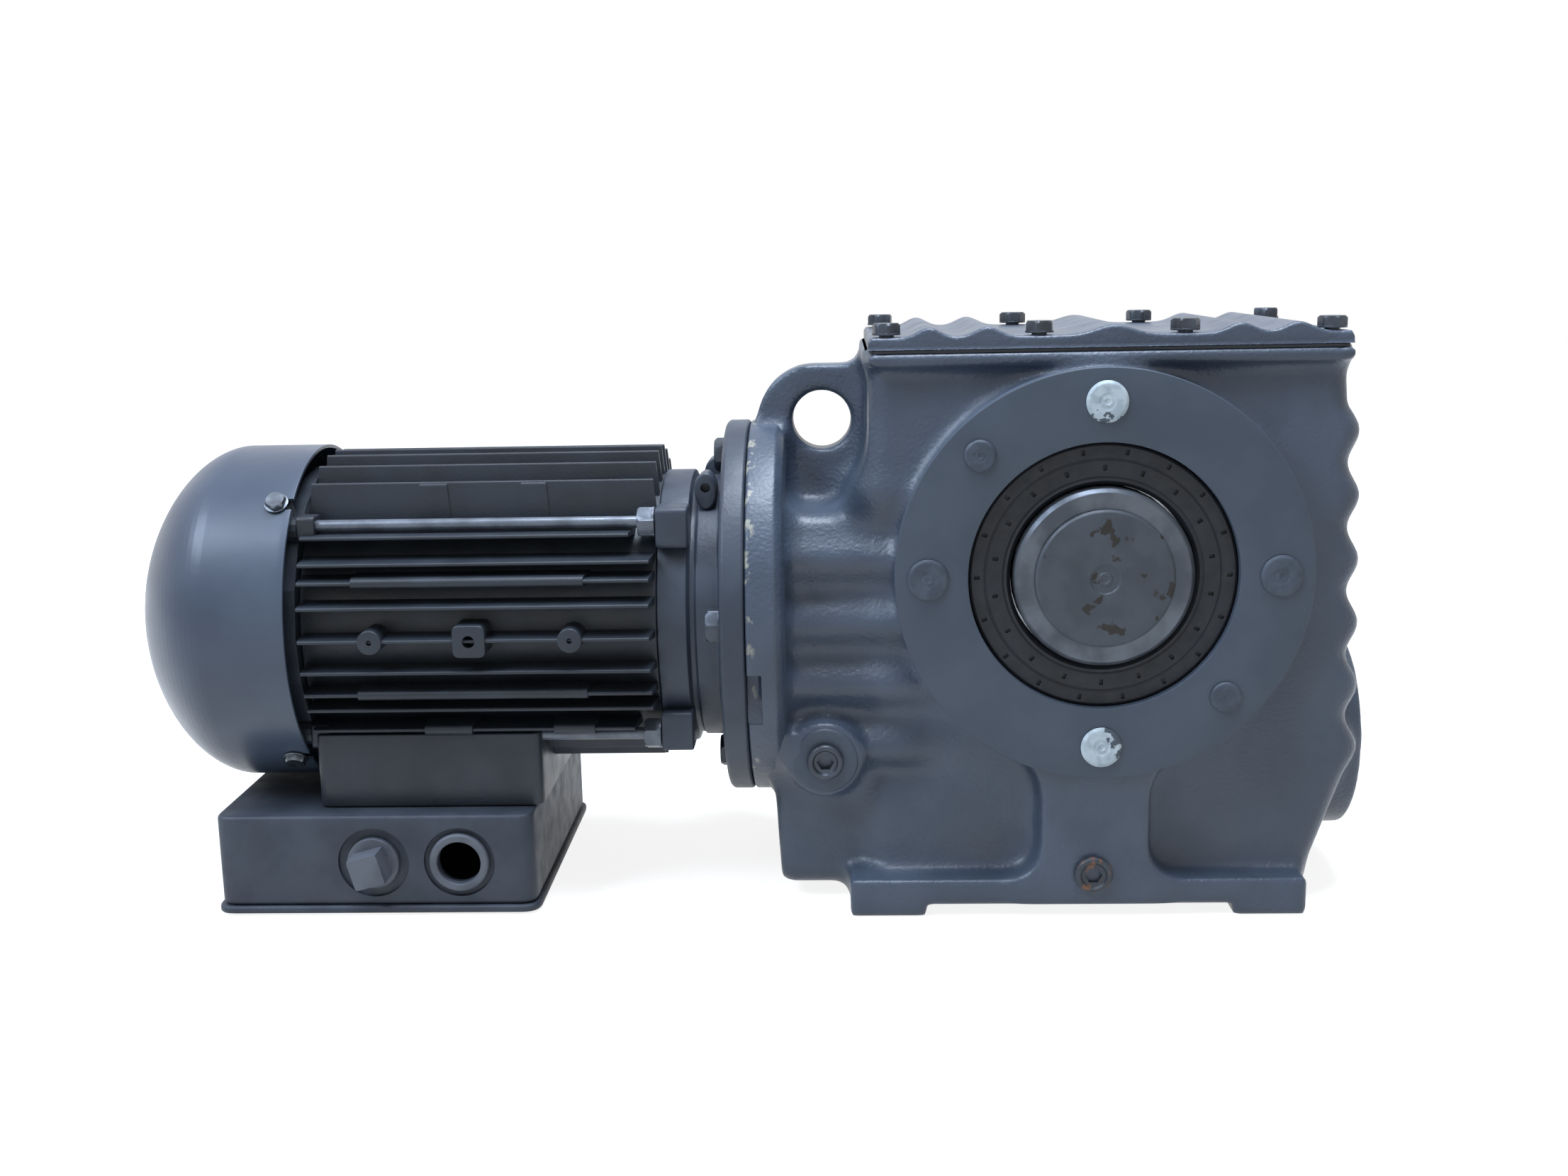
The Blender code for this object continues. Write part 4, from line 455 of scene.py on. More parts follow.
def buildCamera():
    down, left, roll = (math.radians(cameraLook[key]) for key in ("downDeg", "leftDeg", "rollDeg"))
    ahead = Vector((-math.sin(left) * math.cos(down), math.cos(left) * math.cos(down), -math.sin(down)))
    level = Vector((math.cos(left), math.sin(left), 0))
    over = level.cross(ahead)
    right = math.cos(roll) * level - math.sin(roll) * over
    up = math.sin(roll) * level + math.cos(roll) * over
    lens = bpy.data.cameras.new("camera")
    lens.sensor_fit = "HORIZONTAL"
    lens.sensor_width = cameraLook["filmMm"]
    lens.lens = cameraLook["lensMm"]
    lens.clip_start = 0.01
    camera = bpy.data.objects.new("camera", lens)
    turn = Matrix((right, up, -ahead)).transposed().to_4x4()
    camera.matrix_world = Matrix.Translation(cameraLook["place"]) @ turn
    bpy.context.scene.collection.objects.link(camera)
    bpy.context.scene.camera = camera


buildStage()
buildWorld()
buildCamera()
buildLamp("window left", (-1.1, -0.6, 1.4), (-0.05, 0, 0.1), (0.8, 0.6), 24, "#d6e6fb")
buildLamp("sky above", (0.15, -0.1, 1.7), (0, 0, 0.1), (1.1, 0.6), 46, "#e2eeff")
buildLamp("front fill", (0.6, -1.9, 0.7), (0, 0, 0.1), (1.6, 1.2), 1.5, "#ffffff")
bpy.context.scene.view_settings.view_transform = "Standard"
print("stage ready")


# The casting is the zero surface of a distance field: each part is a distance, and two parts
# meet in a fillet of radius k by min(a, b) - h^2 k / 4, with h = max(k - |a - b|, 0) / k.
casting = {"step": 1.6, "gridLow": (-138.4, -78.0, -2.4), "gridHigh": (116.0, 78.0, 229.0),
           "left": -90.3, "right": 97.0, "draft": 0.033, "halfY": 59.5, "low": 8.0, "top": 226.0,
           "corner": 9.0, "lip": (97.2, 61.0, 221.5, 1.5),
           "ridgeTop": 193.4, "ridgePitch": 25.7, "ridgeRise": 4.6, "ridgeSpan": (50.0, 58.0, 200.0, 208.0),
           "slantTop": 61.0, "slantLow": 17.0, "slantIn": 17.0, "slantDrop": 6.0,
           "neckLeft": -131.0, "neckRight": -70.0, "neckHalfY": 53.0, "neckTop": 162.0,
           "neckRidgeTop": 144.5, "neckRidgePitch": 25.8, "neckRidgeRise": 5.8,
           "grooveSpan": (40.0, 60.0, 155.0, 174.0), "grooveEnd": (42.0, 92.0),
           "sumpLow": 5.5, "sumpCorner": 9.0, "sumpDraft": 3.5, "sumpTop": 60.0,
           "shoulder": (150.0, 176.0, 8.0, 36.0),
           "footLeft": -99.5, "footRight": 84.0, "footHalfY": 74.0, "footTop": 15.5,
           "footHoles": ((-84.0, 69.25), 63.0, 5.1, 12.0),
           "recess": (-68.6, 54.7, 4.9), "web": (-23.0, 20.5, 66.0), "webFillet": 17.0, "crease": 3.2,
           "lean": 0.0024, "leanFrom": 176.0, "slot": (81.0, 103.0, -133.5, -71.5),
           "lug": (-134.2, 217.3, 8.5, 22.0), "lugHole": (-109.2, 196.4, 12.3), "lugEdge": 2.2,
           "flange": (77.5, -137.0, -125.0), "pad": (78.5, -73.0, 73.0), "turnedEdge": 2.0,
           "levelBoss": (-109.0, 63.5, 15.5, -63.0, 0.0), "wormBoss": (43.0, 70.0, 112.6),
           "lipFillet": 9.0, "flangeFillet": 11.0, "frameFillet": 8.0, "lugFillet": 9.0, "bossFillet": 8.0}
# The room inside the casting, and the bores through it as (radius, low, high).
cavity = {"low": (-75.0, -45.0, 14.0), "high": (84.0, 45.0, 240.0), "corner": 5.0, "wormWallR": 39.0,
          "wormWallGap": (-69.0, 76.0), "output": (52.4, -90.0, 90.0), "worm": (31.4, -100.0, 130.0),
          "wormSeat": (46.0, -126.0, -97.0), "motor": (48.4, -160.0, -126.0), "edge": 0.5}


def blendDistance(first, second, k):
    h = np.maximum(k - np.abs(first - second), 0) / k
    return np.minimum(first, second) - h * h * k / 4


def cutDistance(body, tool, k):
    return -blendDistance(-body, tool, k)


# How far a point is past two sides that meet at a right angle.
def pastCorner(first, second):
    return (np.sqrt(np.maximum(first, 0) ** 2 + np.maximum(second, 0) ** 2)
            + np.minimum(np.maximum(first, second), 0))


def boxDistance(x, y, z, low, high, corner):
    parts = []
    for value, lowest, highest in zip((x, y, z), low, high):
        parts.append(np.abs(value - (lowest + highest) / 2) - (highest - lowest) / 2 + corner)
    outside = np.sqrt(sum(np.maximum(part, 0) ** 2 for part in parts))
    inside = np.minimum(np.maximum(np.maximum(parts[0], parts[1]), parts[2]), 0)
    return outside + inside - corner


def rodDistance(across, up, along, radius, low, high, corner=1.0):
    wide = np.sqrt(across ** 2 + up ** 2) - radius + corner
    long = np.abs(along - (low + high) / 2) - (high - low) / 2 + corner
    return pastCorner(wide, long) - corner


# Rounded ridges one above another: rise (1 + cos(2 pi (z - top) / pitch)) / 2 over their range.
def ridges(z, top, pitch, rise):
    return rise * (0.5 + 0.5 * np.cos(2 * np.pi * (z - top) / pitch))


def smoothStep(value, low, high):
    t = np.clip((value - low) / (high - low), 0, 1)
    return t * t * (3 - 2 * t)


# 1 between the two middle values, easing to 0 at the outer two.
def within(value, low, full, falling, high):
    return smoothStep(value, low, full) * smoothStep(-value, -high, -falling)


def castingField(x, y, z):
    c = casting
    side = np.abs(y)
    wall = c["right"] + c["draft"] * (c["top"] - z)
    ridged = within(z, *c["ridgeSpan"])
    slant = (z - c["slantTop"] + c["slantDrop"]) * c["slantIn"] / (c["slantTop"] - c["slantLow"])
    onEnd = ridges(z, c["ridgeTop"], c["ridgePitch"], c["ridgeRise"])
    right = x - wall - onEnd * ridged - np.minimum(slant, 0)
    # The neck's four ridges run on over the side wall and die out below the output pad.
    rise = c["neckRidgeRise"]
    highest, pitch = c["neckRidgeTop"], c["neckRidgePitch"]
    inNeck = (z < highest + pitch / 2) & (z > highest - 3.5 * pitch)
    onNeck = ridges(z, highest, pitch, rise)
    grooved = within(z, *c["grooveSpan"]) * smoothStep(-x, *c["grooveEnd"])
    groove = (rise - onNeck * inNeck) * grooved
    inX = np.maximum(right, c["left"] - x) + c["corner"]
    lean = c["lean"] * np.maximum(z - c["leanFrom"], 0) ** 2
    inY = side - c["halfY"] + groove + lean + c["corner"]
    body = np.maximum(np.maximum(pastCorner(inX, inY) - c["corner"], z - c["top"]), c["low"] - z)
    right, half, low, corner = c["lip"]
    lip = boxDistance(x, y, z, (c["left"], -half, low), (right, half, c["top"]), corner)
    body = blendDistance(body, lip, c["lipFillet"])
    neck = boxDistance(x, y, z, (c["neckLeft"], -c["neckHalfY"], c["sumpLow"]),
                       (c["neckRight"], c["neckHalfY"], c["neckTop"]), c["sumpCorner"])
    draft = c["sumpDraft"] * np.clip(1 - z / c["sumpTop"], 0, 1)
    neck = np.maximum(neck - onNeck * inNeck, c["neckLeft"] + draft - x)
    low, high, small, large = c["shoulder"]
    body = blendDistance(body, neck, small + (large - small) * smoothStep(z, low, high))
    flange = rodDistance(y, z - layout["motorZ"], x, *c["flange"], c["turnedEdge"])
    body = blendDistance(body, flange, c["flangeFillet"])
    low, high, right, deep = c["slot"]
    body = cutDistance(body, boxDistance(x, y, z, (-150, -90, low), (right, deep, high), 1), 1.5)
    half = c["footHalfY"]
    foot = boxDistance(x, y, z, (c["footLeft"], -half, 0), (c["footRight"], half, c["footTop"]), 1.8)
    low, high, top = c["web"]
    web = boxDistance(x, y, z, (low, -half, 4), (high, half, top), 1.8)
    pad = rodDistance(x, z - layout["outputZ"], y, *c["pad"], c["turnedEdge"])
    # Feet, web and pad flow into each other on one plane, then meet the walls in small fillets.
    frontFrame = blendDistance(blendDistance(foot, web, c["webFillet"]), pad, c["webFillet"])
    frontFrame = cutDistance(frontFrame, half - side, c["crease"])
    body = blendDistance(body, frontFrame, c["frameFillet"])
    left, right, height = c["recess"]
    body = cutDistance(body, boxDistance(x, y, z, (left, -90, -20), (right, 90, height), 2), 2)
    left, top, half, corner = c["lug"]
    lug = boxDistance(x, y, z, (left, -40, 150), (c["neckRight"], 40, top), corner)
    lug = np.maximum(lug, side - half + c["lugEdge"])
    body = blendDistance(body, lug - c["lugEdge"], c["lugFillet"])
    holeX, holeZ, holeR = c["lugHole"]
    body = cutDistance(body, rodDistance(x - holeX, z - holeZ, y, holeR, -60, 60), 3)
    bossX, bossZ, *extent = c["levelBoss"]
    boss = rodDistance(x - bossX, z - bossZ, y, *extent, c["turnedEdge"])
    body = blendDistance(body, boss, c["bossFillet"])
    boss = rodDistance(y, z - layout["wormZ"], x, *c["wormBoss"], c["turnedEdge"])
    body = blendDistance(body, boss, c["bossFillet"])
    return np.maximum(hollow(body, x, y, z), -z)


def hollow(body, x, y, z):
    edge = cavity["edge"]
    aboveWorm, aboveMotor = z - layout["wormZ"], z - layout["motorZ"]
    left, right = cavity["wormWallGap"]
    inside = boxDistance(x, y, z, cavity["low"], cavity["high"], cavity["corner"])
    fromWorm = np.sqrt(y ** 2 + aboveWorm ** 2)
    # Either end of the room keeps its wall round the worm's bore.
    inside = np.maximum(inside, cavity["wormWallR"] - fromWorm + 400 * ((x > left) & (x < right)))
    inside = np.minimum(inside, rodDistance(x, z - layout["outputZ"], y, *cavity["output"], edge))
    inside = np.minimum(inside, rodDistance(y, aboveWorm, x, *cavity["worm"], edge))
    inside = np.minimum(inside, rodDistance(y, aboveWorm, x, *cavity["wormSeat"], edge))
    inside = np.minimum(inside, rodDistance(y, aboveMotor, x, *cavity["motor"], edge))
    holeXs, holeY, holeR, deep = casting["footHoles"]
    for place in holeXs:
        inside = np.minimum(inside, rodDistance(x - place, np.abs(y) - holeY, z, holeR, -9, deep, edge))
    return np.maximum(body, -inside)


# Surface nets: every cell that the surface crosses gets one point, the mean of where its edges
# cross zero, and every crossed grid edge becomes the quad of the four cells round it.
def netSurface(field, low, step):
    corners = np.array(list(itertools.product((0, 1), repeat=3)))
    cells = [field[i:i + field.shape[0] - 1, j:j + field.shape[1] - 1, k:k + field.shape[2] - 1]
             for i, j, k in corners]
    count = sum((cell < 0).astype(np.int8) for cell in cells)
    active = (count > 0) & (count < 8)
    index = np.full(active.shape, -1)
    index[active] = np.arange(active.sum())
    place = np.argwhere(active)
    value = np.stack([cell[active] for cell in cells], 1)
    total = np.zeros((len(place), 3))
    crossings = np.zeros((len(place), 1))
    for first, second in itertools.combinations(range(8), 2):
        if np.abs(corners[first] - corners[second]).sum() != 1:
            continue
        a, b = value[:, first], value[:, second]
        crossed = (a < 0) != (b < 0)
        share = np.where(crossed, a / np.where(crossed, a - b, 1), 0)[:, None]
        total += np.where(crossed[:, None], corners[first] + share * (corners[second] - corners[first]), 0)
        crossings += crossed[:, None]
    points = np.asarray(low) + step * (place + total / crossings)
    quads = []
    for axis in range(3):
        one, two = (axis + 1) % 3, (axis + 2) % 3
        inside = field < 0
        start = [slice(1, -1)] * 3
        start[axis] = slice(0, -1)
        end = list(start)
        end[axis] = slice(1, None)
        here, there = inside[tuple(start)], inside[tuple(end)]
        at = np.argwhere(here != there)
        outward = here[tuple(at.T)]
        offset = np.ones(3, int)
        offset[axis] = 0
        at = at + offset
        unit = np.eye(3, dtype=int)
        ringed = [at - unit[one] - unit[two], at - unit[two], at, at - unit[one]]
        quad = np.stack([index[tuple(spot.T)] for spot in ringed], 1)
        quads.append(np.where(outward[:, None], quad, quad[:, ::-1]))
    return points, np.vstack(quads)


def buildHousing():
    step = casting["step"]
    low, high = np.array(casting["gridLow"]), np.array(casting["gridHigh"])
    x, y, z = (np.arange(a, b, step, dtype=np.float32) for a, b in zip(low, high))
    field = castingField(x[:, None, None], y[None, :, None], z[None, None, :])
    points, quads = netSurface(np.asarray(field, np.float32), low, step)
    mesh = bpy.data.meshes.new("housingCasting")
    points = (points + (layout["outputX"], 0, 0)) * millimetre
    mesh.vertices.add(len(points))
    mesh.vertices.foreach_set("co", points.astype(np.float32).ravel())
    mesh.loops.add(quads.size)
    mesh.loops.foreach_set("vertex_index", quads.astype(np.int32).ravel())
    mesh.polygons.add(len(quads))
    mesh.polygons.foreach_set("loop_start", np.arange(0, quads.size, 4, dtype=np.int32))
    mesh.update(calc_edges=True)
    piece = bpy.data.objects.new("housingCasting", mesh)
    bpy.context.scene.collection.objects.link(piece)
    thin = piece.modifiers.new("flatFacesMerged", "DECIMATE")
    thin.decimate_type = "DISSOLVE"
    thin.angle_limit = math.radians(meshLook["castFlatDeg"])
    bakeModifiers(piece)
    piece.data.shade_smooth()
    piece.data.set_sharp_from_angle(angle=math.radians(meshLook["castSharpDeg"]))
    dress(piece, ironEnamel, instead=["gear_housing"])
    piece.data.calc_loop_triangles()
    print("casting triangles", len(piece.data.loop_triangles))


buildHousing()
print("housing ready")


padLook = {"radius": 81.0, "seatR": 52.4, "faceY": 76.0, "rootY": 66.0, "bevel": 0.5, "holeR": 5.1,
           "holeDeg": (0, 90, 135, 180, 270, 315)}
capLook = {"circleR": 68.0, "largeR": 8.1, "smallR": 6.2, "thick": 1.5, "reach": 8.0}
sealLook = {"innerR": 35.8, "outerR": 52.0, "faceY": 73.0, "wide": 8.0, "notchRings": (48.9, 42.4),
            "notches": 18, "notchLong": 2.2, "notchWide": 1.5, "notchDeep": 1.1}
hubLook = {"radius": 35.0, "boreR": 22.5, "endY": 77.5, "capR": 27.0, "capThick": 2.0, "markR": 6.0}


def capPlace(degrees):
    turn = math.radians(degrees)
    return capLook["circleR"] * math.cos(turn), layout["outputZ"] + capLook["circleR"] * math.sin(turn)


def buildPads():
    look = padLook
    for side, end in ((-1, "Front"), (1, "Rear")):
        face, root = side * look["faceY"], side * look["rootY"]
        ring = [(look["seatR"], root), (look["seatR"], face), (look["radius"], face),
                (look["radius"], face - side * 6.5), (look["radius"] - 2, root)]
        pad = rawPiece("outputPad" + end, turned(ring, "Y", (0, layout["outputZ"]), look["bevel"], 160))
        low, high = sorted((face + side * 3, root - side * 3))
        holes = [peg(look["holeR"], low, high, "Y", capPlace(degrees), 0.05, 32)
                 for degrees in look["holeDeg"]]
        carve(pad, together(*holes))
        dress(pad, milledEnamel)


# A cap: a low mushroom head with a worn rim, a dished middle and a small peg.
def capShape(radius, x, z, side):
    face = side * (padLook["faceY"] + 0.3)
    top = face + side * (capLook["thick"] - 0.3)
    tip = face - side * capLook["reach"]
    dish = [(0, top - side * 0.35), (0.9, top - side * 0.35), (1.3, top - side * 0.05),
            (radius * 0.33, top - side * 0.3), (radius * 0.42, top - side * 0.02), (radius * 0.86, top),
            (radius, face + side * 0.45), (radius, face), (4.8, face), (4.8, tip), (0, tip)]
    return turned(dish, "Y", (x, z), 0.35, 40)


def buildCaps():
    # The top cap's dark foot is partly leftover spray coat and partly painted shadow below its rim.
    whiteTop = coatAndShadeCap("white cap, painted shadow at the foot", (0, 208), (0, -0.62))
    whiteBottom = coatAndShadeCap("white cap, chipped at the side", (0, 72), (0.66, 0.30))
    places = [("large", 1, 0, sprayedCap, "grey_plastic"), ("large", 2, 90, whiteTop, "white_plastic"),
              ("large", 3, 180, sprayedCap, "grey_plastic"), ("large", 4, 270, whiteBottom, "white_plastic"),
              ("small", 1, 135, sprayedCap, "grey_plastic"), ("small", 2, 315, sprayedCap, "grey_plastic")]
    for size, number, degrees, look, slotName in places:
        x, z = capPlace(degrees)
        newPiece(f"{size}Cap{number}", capShape(capLook[size + "R"], x, z, -1), look,
                 instead=[f"pad_cap_{size}_{number}"])


def buildSeals():
    look = sealLook
    for side, end in ((-1, "front"), (1, "rear")):
        face = side * look["faceY"]
        back = face - side * look["wide"]
        inner, outer = look["innerR"], look["outerR"]
        ring = [(inner, back), (inner, face - side * 1.8), (inner + 1.6, face),
                (inner + 2.6, face - side * 0.5), (inner + 3.4, face), (45.2, face),
                (45.8, face - side * 0.5), (46.4, face), (outer - 1, face),
                (outer, face - side * 0.8), (outer, back)]
        seal = rawPiece("outputSeal" + end.title(), turned(ring, "Y", (0, layout["outputZ"]), 0.2, 120))
        notches = []
        for place, radius in enumerate(look["notchRings"]):
            for number in range(look["notches"]):
                turn = 2 * math.pi * (number + 0.5 * place) / look["notches"]
                box = carried(rounded(radius - look["notchLong"] / 2, radius + look["notchLong"] / 2,
                                      -look["notchWide"] / 2, look["notchWide"] / 2, 0.3),
                              *sorted((face - side * look["notchDeep"], face + side)), "Y", 0.05, 1)
                points = box[0].copy()
                across, up = points[:, 0].copy(), points[:, 2].copy()
                points[:, 0] = across * math.cos(turn) - up * math.sin(turn)
                points[:, 2] = across * math.sin(turn) + up * math.cos(turn) + layout["outputZ"]
                notches.append((points, box[1]))
        carve(seal, together(*notches))
        dress(seal, nitrile, instead=["output_seal_" + end])


def buildHub():
    look = hubLook
    end = look["endY"]
    bore, outer = look["boreR"], look["radius"]
    tube = [(bore, -end), (outer - 1.8, -end), (outer, -end + 1.8), (outer, -end + 6.5),
            (outer - 0.3, -end + 7), (outer - 0.3, end - 7), (outer, end - 6.5), (outer, end - 1.8),
            (outer - 1.8, end), (bore, end)]
    shaft = rawPiece("hollowShaft", turned(tube, "Y", (0, layout["outputZ"]), 0.35, 128))
    keyway = carried([(-7, 0), (7, 0), (7, 26.3), (-7, 26.3)], -end - 2, end + 2, "Y", 0.05, 1)
    carve(shaft, (keyway[0] + (0, 0, layout["outputZ"]), keyway[1]))
    dress(shaft, oiledSteel, "output", ["hollow_shaft"])
    for side, name in ((-1, "front"), (1, "rear")):
        face = side * (end + 0.3)
        top = face + side * (look["capThick"] - 0.05)
        mark = look["markR"]
        wide, inner = look["capR"], side * (end - 9)
        cap = [(0, top - side * 0.5), (1.2, top - side * 0.5), (1.6, top - side * 0.15),
               (2.4, top - side * 0.15), (2.8, top - side * 0.6), (mark - 0.6, top - side * 0.6),
               (mark, top), (wide - 1.0, top), (wide, top - side * 0.9), (wide, face),
               (bore - 0.3, face), (bore - 0.3, inner), (0, inner)]
        shape = turned(cap, "Y", (0, layout["outputZ"]), 0.25, 96)
        newPiece("boreCap" + name.title(), shape, flakedCap, "output", ["bore_cap_" + name])


buildPads()
buildCaps()
buildSeals()
buildHub()
print("output side ready")


coverLook = {"left": -90.2, "right": 97.0, "halfY": 59.0, "low": 227.6, "top": 232.4, "rise": 3.7,
             "edge": 1.6, "humps": ((-66.5, 6.0), (-43.7, 6.5), (5.2, 10.0), (54.0, 7.0), (76.0, 7.0)),
             "holeR": 3.3, "seatR": 8.0, "seatZ": 232.9, "clearZ": 240.0}
boltLook = {"xs": (-82.9, -23.2, 33.4, 90.0), "y": 52.0, "flats": 10.0, "head": 4.6, "low": 233.3,
            "collarR": 5.6, "shankR": 3.0, "reach": 20.0}


# The cover's section across Y, carried along X; its top stands at top + the sum over the humps
# of rise exp(-((x - place) / width)^2), flattened where each bolt sits.
def buildCover():
    look = coverLook
    x = np.linspace(look["left"], look["right"], 220)
    rise = sum(np.exp(-((x - place) / width) ** 2) for place, width in look["humps"])
    top = look["top"] + look["rise"] * np.clip(rise, 0, 1)
    ends = np.minimum(x - look["left"], look["right"] - x)
    eased = look["edge"] * (1 - np.sqrt(1 - (1 - np.clip(ends / look["edge"], 0, 1)) ** 2))
    turn = np.linspace(0, np.pi / 2, 5)
    half, edge, low = look["halfY"], look["edge"], look["low"]
    arcY, arcZ = half - edge + edge * np.cos(turn), edge * np.sin(turn) - edge
    lip = np.array([half, half - 0.6, half - 0.6])
    lipZ = np.array([low, low + 1.0, low + 1.4])
    lengthwise = np.ones((len(x), 1))
    right = np.hstack([lengthwise * lip, lengthwise * (arcY - 0.6)])
    height = np.hstack([lengthwise * lipZ, (top - eased)[:, None] + arcZ])
    height[:, :3] = np.minimum(height[:, :3], height[:, 3:4])
    middle = np.linspace(half - edge - 4, -(half - edge - 4), 9)
    row = np.hstack([right, lengthwise * middle, -right[:, ::-1]])
    rowZ = np.hstack([height, (top - eased)[:, None] * np.ones((1, 9)), height[:, ::-1]])
    points = np.stack([x[:, None] * np.ones_like(row), row, rowZ], -1).reshape(-1, 3)
    columns = row.shape[1]
    faces = gridFaces(len(x), columns, False, True)
    faces += [list(range(columns)), list(range((len(x) - 1) * columns, len(x) * columns))]
    cover = rawPiece("gearCover", (points, faces))
    places = [(place, side * boltLook["y"]) for place in boltLook["xs"] for side in (-1, 1)]
    clear, seat, wide = look["clearZ"], look["seatZ"], look["seatR"]
    cone = [(0, seat), (wide, seat), (wide + 1, clear), (0, clear)]
    holes = [peg(look["holeR"], low - 4, clear, "Z", place) for place in places]
    seats = [turned(cone, "Z", place, 0.05, 32) for place in places]
    carve(cover, together(*holes))
    carve(cover, together(*seats))
    dress(cover, ironEnamel, instead=["top_cover"])


# A machine screw: a chamfered hexagon head on a collar, over a plain shank.
def screwShape(flats, head, collar, shank, low, length, axis, centre, turn, out=1):
    top = low + out * head
    return together(flatSided(flats, low, top, axis, centre, turn),
                    peg(collar, low, low + out * 0.8, axis, centre, 0.2, 40),
                    peg(shank, low - out * length, low + out * 0.4, axis, centre, 0.3, 24))


def buildCoverBolts():
    look = boltLook
    places = [(x, side * look["y"]) for side in (-1, 1) for x in look["xs"]]
    for number, place in enumerate(places, 1):
        shape = screwShape(look["flats"], look["head"], look["collarR"], look["shankR"], look["low"],
                           look["reach"], "Z", place, 0.35 * number)
        newPiece(f"coverBolt{number}", shape, coatedSteel,
                 instead=[f"cover_bolt_{number}"])


plugLook = {"levelPlug": ("level_plug", 7.3, -109.0, 63.5, 64.0),
            "drainPlug": ("drain_plug", 7.6, -2.0, 18.5, 74.0)}
breatherLook = {"face": 110.3, "flats": 11.0, "tip": 121.9}


def buildPlugs():
    for name, (node, radius, x, z, face) in plugLook.items():
        seat = -face - 0.3
        body = [(0, seat - 1.6), (radius * 0.62, seat - 1.6), (radius * 0.72, seat - 2.9),
                (radius - 0.9, seat - 2.9), (radius, seat - 2.1), (radius, seat),
                (radius - 1.3, seat), (radius - 1.3, seat + 9), (0, seat + 9)]
        plug = rawPiece(name, turned(body, "Y", (x, z), 0.35, 48))
        carve(plug, flatSided(6.0, seat - 6, seat + 3, "Y", (x, z)))
        look = rustedSteel if name == "drainPlug" else coatedSteel
        dress(plug, look, instead=[node])
    boss = [(5.9, -62.2), (5.9, -64.0), (12.6, -64.0), (13.4, -63.2), (13.4, -60), (5.9, -60)]
    shape = turned(boss, "Y", casting["levelBoss"][:2], 0.5, 64)
    newPiece("levelBossFace", shape, milledEnamel)


def buildBreather():
    face, tip = breatherLook["face"], breatherLook["tip"]
    hexagon = flatSided(breatherLook["flats"], face, face + 5, "X", wormAxis, 0.2)
    line = [(0, 102), (5, 102), (5, face + 0.5), (4.4, face + 0.5), (4.4, face + 9.4), (3.6, tip), (0, tip)]
    stem = turned(line, "X", wormAxis, 0.4, 40)
    knurl = peg(5.1, face + 6, face + 8.4, "X", wormAxis, 0.3, 40)
    newPiece("breather", together(hexagon, stem, knurl), brightBrass,
             instead=["breather_valve"])
    disc = [(5.4, 102), (5.4, 109.6), (12, 109.6), (12.6, 110), (19, 110), (20, 109.2), (28.5, 109.2),
            (29.2, 110), (30.6, 110), (31, 109.6), (31, 102)]
    newPiece("wormEndCap", turned(disc, "X", wormAxis, 0.3, 96), milledEnamel,
             instead=["worm_end_cap"])


buildCover()
buildCoverBolts()
buildPlugs()
buildBreather()
print("cover and plugs ready")


flangeLook = {"radius": 80.0, "joint": -139.5, "thick": 10.0, "boltCircle": 65.0, "boltTurn": 4.0,
              "boltFlats": 13.0, "boltHead": 5.6, "collarR": 6.9, "shankR": 4.0, "reach": 20.0}
shieldLook = {"ringR": 59.0, "grooveR": 55.5, "innerR": 56.5, "boreR": 26.3, "left": -176.1,
              "right": -134.5, "rodY": 49.3, "rodZ": 44.2, "block": 12.5, "ovalX": -157.2,
              "ovalZ": 170.0, "ovalHalf": (4.6, 7.6), "holeZ": 171.5, "holeR": 2.0}
frameLook = {"front": -176.4, "back": -322.0, "boreR": 53.5, "rootR": 57.5, "tipR": 70.0, "rootHalf": 1.7,
             "tipHalf": 0.85, "sideFins": (-40.0, -30.0, -23.0, -13.2, 0.0, 13.2, 23.0, 30.0, 40.0),
             "endFins": (-36.0, -24.0, -12.0, 0.0, 12.0, 24.0, 36.0), "thickFins": (-23.0, 23.0),
             "thickSpan": (-299.0, -203.0), "thickHalf": 2.1, "footDrop": 5.0,
             "sideLumps": ((-274.6, -252.4), (-221.4, -201.8)),
             "endLumps": ((-276.0, -262.0), (-234.0, -221.0))}
pedestalLook = {"left": -320.0, "right": -226.0, "halfY": 56.0, "low": 42.9, "top": 74.0}


def buildFlanges():
    look = flangeLook
    joint, radius = look["joint"], look["radius"]
    ring = [(48.4, joint), (radius - 1.0, joint), (radius, joint + 0.8), (radius, joint + 11.5),
            (radius - 3.2, joint + 14.5), (68, joint + 15.5), (48.4, joint + 12)]
    housing = rawPiece("housingFlange", turned(ring, "X", motorAxis, 1.0, 160))
    slot = carried(rounded(-81.5, -71.5, 81, 103, 1.2), joint - 3, joint + 6, "X", 0.3, 1)
    carve(housing, slot)
    dress(housing, ironEnamel)


